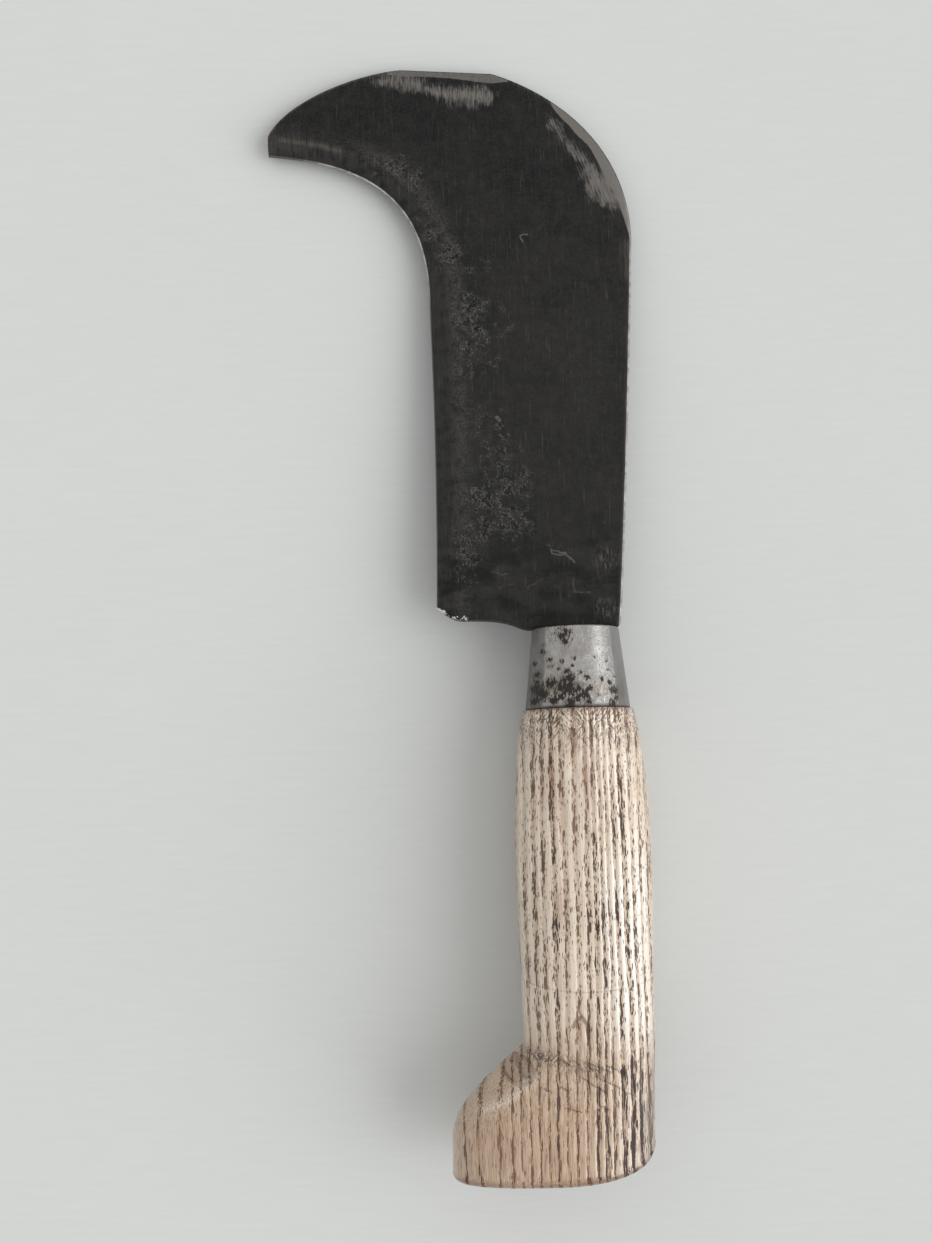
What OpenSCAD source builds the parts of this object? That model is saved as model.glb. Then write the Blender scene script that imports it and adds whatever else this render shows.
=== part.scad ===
// Billhook: a forged hooked blade on a through tang, a tapered steel ferrule, a carved ash handle with a
// hooked butt, and the iron washer that the end of the tang is riveted over.
// The tool lies on its side: +Y runs along the handle towards the blade, +X towards the blade's back, and
// +Z stands square to the blade. The origin is under the middle of the tool's box.

/* [Blade outline] */
// Height of the blade from the ferrule's mouth to the top of its crown
blade_height = 182; // [165:1:230]
// Distance from the handle's axis to the straight cutting edge
edge_offset = 42.7; // [36:0.1:56]
// Depth of the hollow that whetting has worn into the straight edge
edge_wear = 0.7; // [0:0.1:1.5]
// Height above the ferrule's mouth where the cutting edge starts to sweep into the hook
edge_straight = 105; // [85:1:120]
// Distance from the handle's axis to the tip of the nose
nose_reach = 93; // [80:1:125]
// Distance from the crown's top down to the lower corner of the nose
nose_drop = 27.5; // [22:0.5:36]
// Length of the blunt end of the nose
nose_blunt = 6.5; // [4:0.5:10]
// Distance from the handle's axis to the blade's back at the ferrule
back_offset = 14; // [13.5:0.5:17]
// Distance from the handle's axis to the blade's back at its widest
back_bulge = 22; // [18:0.5:32]
// Height above the ferrule's mouth of the back's widest point
back_rise = 124; // [100:1:135]
// Distance from the handle's axis, towards the edge, where the flat of the crown starts
crown_start = 21; // [14:0.5:28]
// Length of the flat of the crown
crown_flat = 29; // [18:1:34]
// Fall of the flat of the crown towards the back
crown_fall = 2; // [0.5:0.5:5]
// Height of the heel's underside above the ferrule's mouth
heel_lift = 3.4; // [1.5:0.1:7]
// Length of the worn heel corner along the underside
heel_wear_run = 8.5; // [4:0.5:14]
// Height of the worn heel corner along the cutting edge
heel_wear_rise = 4; // [2:0.5:9]
// Radius of the corner between the blade's back and the ferrule's mouth
back_corner = 1; // [0.4:0.1:1.5]

/* [Blade section] */
// Thickness of the blade at the ferrule
heel_thickness = 6; // [4.5:0.1:8]
// Thickness of the blade at the crown
crown_thickness = 4; // [3:0.1:6]
// Width of the ground bevel along the cutting edge
bevel_width = 7; // [4:0.5:10]
// Thickness left at the cutting edge
edge_thickness = 0.6; // [0.3:0.1:1.2]
// Width of the chamfer along the blade's back, crown and nose
back_chamfer = 1.2; // [0.6:0.1:2]

/* [Tang] */
// Width of the tang where it leaves the blade
tang_root_width = 16; // [10:0.5:18]
// Width of the tang at the washer
tang_end_width = 7; // [5:0.5:8]
// Thickness of the tang
tang_thickness = 5; // [3.5:0.1:6]
// Diameter of the riveted head at the end of the tang
tang_head_diameter = 11; // [9.5:0.5:13]
// Height of the riveted head at the end of the tang
tang_head_height = 1.6; // [1:0.1:2]

/* [Ferrule] */
// Length of the ferrule
ferrule_length = 25; // [16:0.5:36]
// Outside diameter of the ferrule at its mouth
ferrule_mouth = 27; // [24:0.1:28]
// Outside diameter of the ferrule at its base
ferrule_base = 32.4; // [29:0.1:33.6]
// Wall of the ferrule
ferrule_wall = 1.5; // [1:0.1:2]

/* [Handle] */
// Length of the handle from the ferrule's base to the butt
handle_length = 139; // [120:1:170]
// Diameter of the round shoulder under the ferrule
shoulder_diameter = 34.6; // [34:0.1:38]
// Radius on the rim of the shoulder
shoulder_round = 0.8; // [0.3:0.1:1]
// Width of the grip at its swell
swell_width = 42; // [39:0.5:48]
// Thickness of the grip at its swell
swell_thickness = 32; // [29:0.5:38]
// Distance of the swell below the ferrule's base
swell_drop = 42; // [30:1:55]
// Width of the grip where the hooked butt starts
waist_width = 40; // [36:0.5:44]
// Thickness of the grip where the hooked butt starts
waist_thickness = 30; // [27:0.5:34]
// Height of the hooked butt
hook_height = 39; // [30:0.5:50]
// Distance that the top of the hook takes to reach its full width
hook_slope = 27; // [20:0.5:29]
// Reach of the hooked butt from the handle's axis
hook_reach = 42; // [34:0.5:52]
// Reach of the butt on the other side of the handle's axis
butt_back = 18.5; // [17:0.5:22]
// Rounding of the rim of the butt
butt_round = 2.5; // [1:0.1:4]
// Length of the long rounding at the back corner of the butt
butt_sweep_run = 28; // [18:0.5:32]
// Height of the long rounding at the back corner of the butt
butt_sweep_rise = 8; // [4:0.5:12]

/* [Tang washer] */
// Diameter of the washer under the tang's riveted head
washer_diameter = 16; // [14:0.5:19]
// Thickness of the washer
washer_thickness = 2; // [1.2:0.1:2.6]
// Depth of the round recess that lets the washer into the butt
recess_depth = 5; // [4.6:0.1:7]

/* [Fits] */
// Gap between the tang and its slot, each side
tang_clearance = 0.2; // [0.1:0.05:0.4]
// Gap between the ferrule and the tenon inside it
ferrule_clearance = 0.05; // [0.02:0.01:0.2]
// Gap between the washer and the wall of its recess
washer_clearance = 0.4; // [0.1:0.05:0.6]
// Gap between the tenon's end and the ferrule's mouth
tenon_gap = 1; // [0.4:0.1:2]

/* [Hidden] */

// Points along each curve of an outline, and along a small corner
curve_steps = 14;
corner_steps = 5;
// Points round each section of the handle, and sections along its rims, its grip and its hooked butt
ring_points = 56;
rim_steps = 5;
grip_steps = 16;
hook_steps = 16;
// How far a cutter or a fused piece runs past the face that it meets
overrun = 5;
// How far a cutter along the blade's rim stands out from it
rim_margin = 1.5;
$fn = 64;

// How far a curve of the blade's outline runs on straight from its start and into its end, as shares in X
// and Y of the way between the two
back_leave = [0.18, 0.08];
back_arrive = [0.15, 0.24];
crown_leave = [0, 0.56];
crown_arrive = [0.46, 0.12];
nose_leave = [0.33, 0.03];
nose_arrive = [0.13, 0.54];
hook_leave = [0.67, 0.07];
hook_arrive = [0, 0.66];
heel_leave = [0.3, 0.5];
heel_arrive = [0.4, 0];
under_leave = [0.85, 0];
under_arrive = [0.27, 0];
corner_turn = 0.55;

// How soon the grip swells below its shoulder, and how square its oval sections are: 2 is a plain ellipse
swell_haste = 0.8;
grip_squareness = 2.5;

// Places along the axis, measured from the ferrule's mouth
handle_top = -ferrule_length;
butt_y = handle_top - handle_length;
recess_floor = butt_y + recess_depth;
washer_seat = recess_floor - washer_thickness;
waist_drop = handle_length - hook_height;
nose_y = blade_height - nose_drop;
crown_y = blade_height - crown_fall;
crown_end = crown_start + crown_flat;

// The tool's box, which sets the origin
box_left = -max(nose_reach, hook_reach);
box_right = max(back_bulge, butt_back, swell_width / 2);
half_thick = max(shoulder_diameter, ferrule_base, swell_thickness) / 2;
origin_shift = [-(box_left + box_right) / 2, -(butt_y + blade_height) / 2, half_thick];

// Curves
function mix(a, b, t) = a + (b - a) * t;
function cubic(p0, p1, p2, p3, n = curve_steps) = [
    for (i = [0 : n]) let (t = i / n, u = 1 - t)
        u * u * u * p0 + 3 * u * u * t * p1 + 3 * u * t * t * p2 + t * t * t * p3
];
function bow(a, b, leave, arrive) = let (span = b - a)
    cubic(a, a + [leave[0] * span[0], leave[1] * span[1]], b - [arrive[0] * span[0], arrive[1] * span[1]], b);
function unit(v) = v / norm(v);
function left_of(v) = [-v[1], v[0]];
function without_first(path) = [for (i = [1 : len(path) - 1]) path[i]];

// Half of the blade's thickness at a height above the ferrule's mouth
function half_blade(y) = mix(heel_thickness, crown_thickness, y / blade_height) / 2;

// The corners of the blade's outline, anticlockwise from the ferrule's mouth on the back's side
seat_back = [back_offset - back_corner, 0];
seat_edge = [-ferrule_mouth / 2, 0];
back_foot = [back_offset, back_corner];
back_top = [back_bulge, back_rise];
crown_back = [-crown_start, crown_y];
crown_front = [-crown_end, blade_height];
nose_top = [-nose_reach, nose_y + nose_blunt];
nose_tip = [-nose_reach, nose_y];
edge_top = [-edge_offset, edge_straight];
edge_foot = [-edge_offset, heel_lift + heel_wear_rise];
heel_under = [-edge_offset + heel_wear_run, heel_lift];

corner_path = let (
        point = [back_offset, 0],
        leave = mix(seat_back, point, corner_turn),
        arrive = mix(back_foot, point, corner_turn)
    )
    cubic(seat_back, leave, arrive, back_foot, corner_steps);
back_path = bow(back_foot, back_top, back_leave, back_arrive);
crown_path = bow(back_top, crown_back, crown_leave, crown_arrive);
nose_path = bow(crown_front, nose_top, nose_leave, nose_arrive);
hook_path = bow(nose_tip, edge_top, hook_leave, hook_arrive);
// A curve bulges three quarters as far as its two middle points stand off
edge_path = let (
        hollow = [edge_wear / 0.75, 0],
        upper = mix(edge_top, edge_foot, 1 / 3) + hollow,
        lower = mix(edge_top, edge_foot, 2 / 3) + hollow
    )
    cubic(edge_top, upper, lower, edge_foot);
heel_path = bow(edge_foot, heel_under, heel_leave, heel_arrive);
under_path = bow(heel_under, seat_edge, under_leave, under_arrive);

cutting_path = concat(hook_path, without_first(edge_path));
blunt_path = concat(back_path, without_first(crown_path), nose_path);
blade_outline = concat(
    corner_path, without_first(blunt_path), cutting_path, without_first(heel_path), without_first(under_path)
);

// A closed solid through rings of equally many points; the first and last rings are its ends
module loft(rings) {
    n = len(rings[0]);
    last = len(rings) - 1;
    polyhedron(
        points = [for (ring = rings) for (p = ring) p],
        faces = concat(
            [[for (i = [0 : n - 1]) i]],
            [for (r = [0 : last - 1]) for (i = [0 : n - 1]) let (a = r * n + i, b = r * n + (i + 1) % n)
                each [[a, a + n, b], [b, a + n, b + n]]],
            [[for (i = [n - 1 : -1 : 0]) last * n + i]]
        )
    );
}

// The way along a path at one of its points
function heading(path, i) = unit(path[min(i + 1, len(path) - 1)] - path[max(i - 1, 0)]);

// Cuts a slope along a path on the upper face: it starts edge_half above the middle plane at the path and
// meets the face at the given width inside it. The path runs on past both of its ends.
module slope_cutter(path, width, edge_half) {
    last = len(path) - 1;
    past = overrun + heel_wear_rise;
    run = concat([path[0] - past * heading(path, 0)], path, [path[last] + past * heading(path, last)]);
    rings = [for (i = [0 : len(run) - 1]) let (
            p = run[i],
            inward = left_of(heading(run, i)),
            face = half_blade(p[1]),
            base = is_undef(edge_half) ? face - width : edge_half,
            rise = (face - base) / width,
            foot = p - rim_margin * inward,
            tip = p + 2 * width * inward,
            top = face + rise * width
        ) [
            [foot[0], foot[1], base - rim_margin * rise],
            [tip[0], tip[1], top],
            [foot[0], foot[1], top]
        ]];
    loft(rings);
}

// The wedge between the blade's two flat faces, thinner towards the crown
module blade_wedge() {
    low = -overrun;
    high = blade_height + overrun;
    rotate([90, 0, 90])
        linear_extrude(2 * (nose_reach + back_bulge), center = true)
            polygon([
                [low, -half_blade(low)], [high, -half_blade(high)],
                [high, half_blade(high)], [low, half_blade(low)]
            ]);
}

module blade_plate() {
    difference() {
        intersection() {
            linear_extrude(2 * heel_thickness, center = true) polygon(blade_outline);
            blade_wedge();
        }
        for (side = [0, 1]) mirror([0, 0, side]) {
            slope_cutter(cutting_path, bevel_width, edge_thickness / 2);
            slope_cutter(blunt_path, back_chamfer);
        }
    }
}

// The tang's shape or, with a gap, that of the slot it lies in, from inside the blade to the given end
function tang_half(y) = mix(tang_root_width, tang_end_width, y / washer_seat) / 2;
module tang_bar(end, gap = 0, start = overrun) {
    linear_extrude(tang_thickness + 2 * gap, center = true)
        polygon([
            [tang_half(start) + gap, start], [-tang_half(start) - gap, start],
            [-tang_half(end) - gap, end], [tang_half(end) + gap, end]
        ]);
}

// A round piece about the handle's axis, from one place on the axis towards the blade
module along_axis(y) {
    translate([0, y, 0]) rotate([-90, 0, 0]) children();
}

// The dome that the end of the tang is hammered into
module tang_head() {
    radius = (pow(tang_head_diameter / 2, 2) + pow(tang_head_height, 2)) / (2 * tang_head_height);
    intersection() {
        along_axis(washer_seat - tang_head_height + radius) sphere(radius);
        along_axis(washer_seat - tang_head_height) cylinder(d = 2 * tang_head_diameter, h = tang_head_height);
    }
}

module blade() {
    color([0.19, 0.19, 0.19]) {
        blade_plate();
        tang_bar(washer_seat - tang_head_height / 4);
        tang_head();
    }
}

// Inside radius of the ferrule at a place on the axis
function ferrule_inside(y) = mix(ferrule_mouth, ferrule_base, -y / ferrule_length) / 2 - ferrule_wall;

module ferrule() {
    color([0.68, 0.67, 0.65])
        difference() {
            along_axis(-ferrule_length)
                cylinder(d1 = ferrule_base, d2 = ferrule_mouth, h = ferrule_length);
            along_axis(-ferrule_length - overrun)
                cylinder(
                    r1 = ferrule_inside(-ferrule_length - overrun),
                    r2 = ferrule_inside(overrun),
                    h = ferrule_length + 2 * overrun
                );
        }
}

// The handle's sections, each a distance down from the ferrule's base
function ease(a, b, t) = mix(a, b, (1 - cos(180 * max(0, min(1, t)))) / 2);
function swell_share(drop) = max(0, drop - shoulder_round) / (swell_drop - shoulder_round);
function grip_half(drop, shoulder, swell, waist) =
    drop < swell_drop
        ? mix(shoulder, swell, sin(90 * pow(swell_share(drop), swell_haste)))
        : ease(swell, waist, (drop - swell_drop) / (waist_drop - swell_drop));
function half_width(drop) = grip_half(drop, shoulder_diameter / 2, swell_width / 2, waist_width / 2);
function half_depth(drop) = grip_half(drop, shoulder_diameter / 2, swell_thickness / 2, waist_thickness / 2);
function hook_share(drop) = sin(90 * max(0, min(1, (drop - waist_drop) / hook_slope)));
function edge_reach(drop) = mix(half_width(drop), hook_reach, hook_share(drop));
function back_reach(drop) = mix(half_width(drop), butt_back, max(0, drop - waist_drop) / hook_height);
// How much the rims at the shoulder and the butt are rounded in
function round_in(left, radius) =
    left >= radius ? 0 : radius - sqrt(max(0, radius * radius - pow(radius - left, 2)));
function rim(drop) = round_in(drop, shoulder_round) + round_in(handle_length - drop, butt_round);
// Square-shouldered ovals towards the butt, a true circle at the ferrule
function squareness(drop) = mix(2, grip_squareness, min(1, drop / swell_drop));
function bulge(t, power) = sign(t) * pow(abs(t), 2 / power);
function section(drop) = let (
        edge = edge_reach(drop) - rim(drop),
        back = back_reach(drop) - rim(drop),
        depth = half_depth(drop) - rim(drop),
        power = squareness(drop)
    )
    [for (i = [0 : ring_points - 1]) let (a = 360 * i / ring_points) [
        (back - edge) / 2 + (back + edge) / 2 * bulge(cos(a), power),
        handle_top - drop,
        depth * bulge(sin(a), power)
    ]];

drops = concat(
    [for (i = [0 : rim_steps]) shoulder_round * (1 - cos(90 * i / rim_steps))],
    [for (i = [1 : grip_steps]) mix(shoulder_round, waist_drop, i / grip_steps)],
    [for (i = [1 : hook_steps]) mix(waist_drop, handle_length - butt_round, i / hook_steps)],
    [for (i = [1 : rim_steps]) handle_length - butt_round * (1 - sin(90 * i / rim_steps))]
);

// Takes the long rounding off the back corner of the butt
module butt_sweep_cutter() {
    back = butt_back + overrun;
    arc = [for (i = [0 : curve_steps]) let (a = 90 * i / curve_steps) [
        butt_back - butt_sweep_run * (1 - sin(a)), butt_y + butt_sweep_rise * (1 - cos(a))
    ]];
    linear_extrude(4 * half_thick, center = true)
        polygon(concat(arc, [
            [back, butt_y + butt_sweep_rise], [back, butt_y - overrun], [arc[0][0], butt_y - overrun]
        ]));
}

module handle() {
    color([0.80, 0.71, 0.58])
        difference() {
            union() {
                loft([for (drop = drops) section(drop)]);
                along_axis(handle_top - overrun)
                    cylinder(
                        r1 = ferrule_inside(handle_top - overrun) - ferrule_clearance,
                        r2 = ferrule_inside(-tenon_gap) - ferrule_clearance,
                        h = ferrule_length + overrun - tenon_gap
                    );
            }
            butt_sweep_cutter();
            tang_bar(butt_y, tang_clearance);
            along_axis(butt_y - overrun)
                cylinder(d = washer_diameter + 2 * washer_clearance, h = recess_depth + overrun);
        }
}

module tang_washer() {
    color([0.30, 0.27, 0.25])
        difference() {
            along_axis(washer_seat) cylinder(d = washer_diameter, h = washer_thickness);
            tang_bar(washer_seat - overrun, tang_clearance);
        }
}

module placed() {
    translate(origin_shift) children();
}

placed() blade();
placed() ferrule();
placed() handle();
placed() tang_washer();
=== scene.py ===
"""An old billhook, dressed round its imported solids: hooked blade, ferrule, ash handle and riveted tang."""

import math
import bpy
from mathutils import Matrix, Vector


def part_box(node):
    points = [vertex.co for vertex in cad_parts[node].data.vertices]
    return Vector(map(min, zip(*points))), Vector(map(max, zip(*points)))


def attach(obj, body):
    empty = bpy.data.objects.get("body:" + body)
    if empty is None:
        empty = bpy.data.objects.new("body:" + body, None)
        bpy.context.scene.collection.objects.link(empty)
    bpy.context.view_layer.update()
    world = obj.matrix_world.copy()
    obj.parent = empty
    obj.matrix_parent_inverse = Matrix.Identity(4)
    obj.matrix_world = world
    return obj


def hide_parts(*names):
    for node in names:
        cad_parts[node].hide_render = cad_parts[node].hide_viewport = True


bl_info = {
    "name": "Billhook",
    "version": (1, 0, 0),
    "blender": (4, 5, 0),
    "location": "3D View > Sidebar > Billhook",
    "description": "Builds a worn billhook: forged blade, plated ferrule, carved ash handle and riveted tang",
    "category": "Add Mesh",
}

from itertools import product
from types import SimpleNamespace

import bpy
import numpy as np
from mathutils import Matrix, Vector

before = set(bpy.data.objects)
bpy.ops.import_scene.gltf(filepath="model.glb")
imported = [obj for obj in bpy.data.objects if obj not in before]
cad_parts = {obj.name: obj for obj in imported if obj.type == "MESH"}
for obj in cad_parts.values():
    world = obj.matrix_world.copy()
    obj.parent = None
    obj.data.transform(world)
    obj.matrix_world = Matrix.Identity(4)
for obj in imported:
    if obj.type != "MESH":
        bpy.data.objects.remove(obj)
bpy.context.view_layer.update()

MM = 0.001
ferrule_low, ferrule_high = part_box("ferrule")
blade_low, blade_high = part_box("blade")
handle_low, handle_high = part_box("handle")
# The middle of the ferrule's mouth, from which the pieces are measured in millimetres: the blade lies
# towards +Y and its back towards +X
ferrule_middle = (ferrule_low + ferrule_high) / 2
MOUTH = Vector((ferrule_middle.x, ferrule_high.y, ferrule_middle.z))


# Settings


def linear(tone):
    """A colour written in tones from 0 to 255, as the linear shares that shaders take."""
    shares = [t / 255 for t in tone]
    return tuple(s / 12.92 if s <= 0.04045 else ((s + 0.055) / 1.055) ** 2.4 for s in shares)


def length(name, mm, words):
    return bpy.props.FloatProperty(name=name, description=words, default=mm * MM, unit="LENGTH", precision=4)


def colour(name, tone, words):
    return bpy.props.FloatVectorProperty(
        name=name, description=words, size=3, subtype="COLOR", default=linear(tone), min=0, max=1
    )


def level(name, value, words):
    return bpy.props.FloatProperty(name=name, description=words, default=value, min=0)


def in_mm(group):
    """The lengths of a group of settings by name, in millimetres."""
    return SimpleNamespace(**{key: getattr(group, key) / MM for key in group.__annotations__})


def paints(group):
    """The colours of a group of settings by name, ready for a shader's sockets."""
    return SimpleNamespace(**{key: (*getattr(group, key), 1) for key in group.__annotations__})


class BladeSizes(bpy.types.PropertyGroup):
    height: length("Height", (blade_high.y - MOUTH.y) / MM, "Ferrule's mouth to the top of the crown")
    edge_offset: length("Edge offset", 42.7, "Handle's axis to the straight edge")
    edge_wear: length("Edge wear", 0.7, "How far sharpening has hollowed the straight edge")
    edge_straight: length("Straight edge", 105, "Height at which the straight edge turns into the hook")
    nose_reach: length("Nose reach", (MOUTH.x - blade_low.x) / MM, "Handle's axis to the end of the nose")
    nose_drop: length("Nose drop", 27.5, "Top of the crown to the tip of the edge")
    nose_blunt: length("Blunt nose", 6.5, "Width of the nose's blunt end")
    back_offset: length("Back offset", 14, "Handle's axis to the foot of the back")
    back_bulge: length("Back bulge", (blade_high.x - MOUTH.x) / MM, "Handle's axis to the back's bulge")
    back_rise: length("Back rise", 124, "Height of the back's furthest place")
    back_corner: length("Back corner", 1, "Rounding of the foot of the back")
    crown_start: length("Crown start", 21, "Handle's axis to the start of the crown's flat")
    crown_flat: length("Crown flat", 29, "Width of the crown's flat")
    crown_fall: length("Crown fall", 2, "How far the crown's flat falls towards the back")
    heel_lift: length("Heel lift", 3.4, "Ferrule's mouth to the underside of the heel")
    heel_wear_run: length("Heel wear run", 8.5, "Length of the worn corner of the heel")
    heel_wear_rise: length("Heel wear rise", 4, "Height of the worn corner of the heel")
    seat: length("Seat", 13.5, "Half width of the seat on the ferrule")
    heel_thickness: length("Heel thickness", 6, "Thickness of the plate at the heel")
    crown_thickness: length("Crown thickness", 4, "Thickness of the plate at the crown")
    edge_thickness: length("Edge thickness", 0.6, "Thickness of the worn cutting edge")
    bevel: length("Bevel", 7, "Width of the sharpened bevel")
    nose_bevel: length("Nose bevel", 4.6, "Width of the bevel at the nose")
    chamfer: length("Chamfer", 1.2, "Width of the chamfer along the back")
    ground_chamfer: length("Ground chamfer", 2.2, "Width of the chamfer where the crown was ground")


class TangSizes(bpy.types.PropertyGroup):
    root_width: length("Root width", 16, "Width of the tang at the blade")
    end_width: length("End width", 7, "Width of the tang at the butt")
    thickness: length("Thickness", 5, "Thickness of the tang")
    head: length("Head", 11, "Diameter of the riveted head")
    head_height: length("Head height", 1.6, "Height of the riveted head")


class FerruleSizes(bpy.types.PropertyGroup):
    length: length("Length", (ferrule_high.y - ferrule_low.y) / MM, "Length of the ferrule")
    mouth: length("Mouth", 27, "Diameter at the blade")
    base: length("Base", (ferrule_high.x - ferrule_low.x) / MM, "Diameter at the handle")
    wall: length("Wall", 1.5, "Thickness of the wall")


class HandleSizes(bpy.types.PropertyGroup):
    length: length("Length", (ferrule_low.y - handle_low.y) / MM, "Shoulder to butt")
    shoulder: length("Shoulder", (handle_high.z - handle_low.z) / MM, "Diameter at the ferrule")
    shoulder_round: length("Shoulder round", 0.8, "Rounding of the shoulder's rim")
    swell_width: length("Swell width", 42, "Width of the grip where it swells most")
    swell_thickness: length("Swell thickness", 32, "Thickness of the grip where it swells most")
    swell_drop: length("Swell drop", 42, "Shoulder to the grip's widest place")
    waist_width: length("Waist width", 40, "Width of the grip above the hooked butt")
    waist_thickness: length("Waist thickness", 30, "Thickness of the grip above the hooked butt")
    hook_height: length("Hook height", 39, "Height of the hooked butt")
    hook_slope: length("Hook slope", 27, "Height over which the hook runs out")
    hook_reach: length("Hook reach", 42, "Handle's axis to the end of the hook")
    butt_back: length("Butt back", 18.5, "Handle's axis to the back of the butt")
    butt_round: length("Butt round", 2.5, "Rounding of the butt's rim")
    sweep_run: length("Sweep run", 28, "Length of the long rounding at the butt's back corner")
    sweep_rise: length("Sweep rise", 8, "Height of the long rounding at the butt's back corner")
    recess: length("Recess", 16.8, "Diameter of the recess for the washer")
    recess_depth: length("Recess depth", 5, "Depth of the recess for the washer")
    tenon_gap: length("Tenon gap", 1, "Ferrule's mouth to the end of the tenon")
    ring: length("Growth ring", 2.9, "Width of one year's growth under the grip's upper side")


class WasherSizes(bpy.types.PropertyGroup):
    diameter: length("Diameter", 16, "Diameter of the washer")
    bore: length("Bore", 8, "Diameter of the hole under the riveted head")
    thickness: length("Thickness", 2, "Thickness of the washer")


class BladeColours(bpy.types.PropertyGroup):
    scale: colour("Scale", (21, 21, 21), "Black forge scale")
    scale_brown: colour("Brown scale", (41, 40, 38), "Forge scale that has browned")
    pitted: colour("Pitted", (60, 59, 57), "Grey of the pitted places")
    # Also the tone of the painted highlights on the pits and along the back
    scratch: colour("Scratch", (112, 110, 106), "Thin scratches through the scale")
    ground: colour("Ground", (132, 128, 123), "Steel laid bare by the grinding wheel")
    # Also the tone of the painted highlights along the hook's edge and the back's top edge
    worn: colour("Worn", (214, 212, 207), "Steel polished by use")
    rust: colour("Rust", (104, 96, 88), "Thin brown rust")


class FerruleColours(bpy.types.PropertyGroup):
    plating: colour("Plating", (182, 181, 179), "Dull plating")
    stained: colour("Stained", (138, 126, 114), "Plating with a brown stain")
    bare: colour("Bare", (38, 33, 31), "Dark steel where the plating has flaked")


class HandleColours(bpy.types.PropertyGroup):
    late: colour("Late wood", (233, 218, 198), "Pale dense wood of late summer")
    # The tone of the painted sheen on the grip beside its back
    rubbed_and_highlit: colour("Rubbed", (242, 236, 229), "Late wood that the palm has rubbed pale")
    early: colour("Early wood", (186, 158, 132), "Open wood of spring")
    # Also the tone of painted shade in the hollow beside the throat
    pore: colour("Pores", (104, 70, 50), "Dirt in the open pores")
    pore_dark: colour("Dark pores", (58, 40, 34), "Dirt in the pores where the hand was most")
    stain: colour("Stain", (146, 100, 74), "Reddish stains")
    tan: colour("Tanned", (192, 148, 100), "Wood that has yellowed on the hook")
    # Also the tone of painted shade on the hook and beyond the crest
    grime: colour("Grime", (122, 86, 52), "Handling dirt round the butt and in the cuts")
    # Greys the back of the butt
    soot: colour("Soot", (112, 106, 100), "Grey dirt on the back of the butt")


class WasherColours(bpy.types.PropertyGroup):
    iron: colour("Iron", (58, 53, 49), "Dark iron")
    rust: colour("Rust", (116, 76, 52), "Rust on the iron")


class StageSettings(bpy.types.PropertyGroup):
    floor: colour("Floor", (212, 214, 212), "Painted floor")
    sky: level("Sky", 0.77, "Light from all round")
    sky_side: level("Sky side", 0.22, "How much brighter the light is on the back's side")
    window: level("Window", 0.12, "Light of the window low on the back's side")
    overhead: level("Overhead", 0.14, "How much dimmer it is straight overhead")
    backdrop: level("Backdrop", 0.68, "Brightness of the backdrop as the camera sees it")
    lamp: level("Lamp", 1.45, "Strength of the soft lamp in watts per square metre")
    lamp_width: bpy.props.FloatProperty(
        name="Lamp width",
        description="Angle that the soft lamp fills",
        default=math.radians(56),
        subtype="ANGLE",
    )


class BillhookSettings(bpy.types.PropertyGroup):
    blade: bpy.props.PointerProperty(type=BladeSizes)
    tang: bpy.props.PointerProperty(type=TangSizes)
    ferrule: bpy.props.PointerProperty(type=FerruleSizes)
    handle: bpy.props.PointerProperty(type=HandleSizes)
    washer: bpy.props.PointerProperty(type=WasherSizes)
    blade_colours: bpy.props.PointerProperty(type=BladeColours)
    ferrule_colours: bpy.props.PointerProperty(type=FerruleColours)
    handle_colours: bpy.props.PointerProperty(type=HandleColours)
    washer_colours: bpy.props.PointerProperty(type=WasherColours)
    stage: bpy.props.PointerProperty(type=StageSettings)


def tool_sizes(context):
    """The sizes of all pieces by piece, in millimetres."""
    settings = context.scene.billhook
    names = ("blade", "tang", "ferrule", "handle", "washer")
    return SimpleNamespace(**{name: in_mm(getattr(settings, name)) for name in names})


def recess_floor(size):
    """Y of the floor of the butt's recess, on which the washer lies."""
    return size.handle.recess_depth - size.handle.length - size.ferrule.length


# Marks on the tool, in millimetres from the ferrule's mouth

# Outlines of what the wheel has ground on the crown's face, and of the strips along the crown's rim
TOP_GRIND = (
    (-59.6, 179.0), (-53.3, 180.5), (-42.2, 178.9), (-42.3, 176.1), (-35.4, 175.3), (-30.5, 175.6),
    (-22.6, 175.1), (-20.4, 172.3), (-21.5, 169.9), (-27.4, 169.4), (-34.9, 170.6), (-39.7, 172.1),
    (-42.3, 174.2), (-46.2, 175.2), (-52.4, 175.5), (-57.3, 176.5),
)
CROWN_GRIND = (
    (-3.6, 165.2), (-1.1, 165.1), (0.9, 162.5), (3.9, 158.1), (6.9, 154.4), (10.2, 150.4), (12.8, 147.4),
    (15.9, 145.5), (19.6, 141.5), (21.4, 135.4), (21.8, 129.3), (18.6, 133.3), (15.7, 131.6), (11.0, 135.6),
    (8.0, 138.6), (5.9, 146.9), (1.7, 154.6), (-3.7, 161.6),
)
TOP_STRIP = (
    (-54.3, 180.2), (-50.0, 179.4), (-42.8, 179.2), (-35.0, 178.6), (-28.8, 177.6), (-24.5, 176.9),
    (-20.6, 176.4), (-15.7, 177.0), (-14.0, 186.0), (-56.0, 186.0),
)
CROWN_STRIP = (
    (-2.1, 169.0), (-1.6, 167.7), (0.6, 164.7), (3.0, 162.1), (6.3, 157.9), (9.0, 155.3), (10.6, 152.5),
    (12.5, 148.5), (14.1, 144.2), (16.1, 140.5), (18.0, 136.9), (19.2, 132.6), (20.1, 129.3), (21.5, 124.0),
    (27.0, 124.0), (27.0, 150.0), (10.0, 168.0), (-2.0, 174.0),
)
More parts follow.
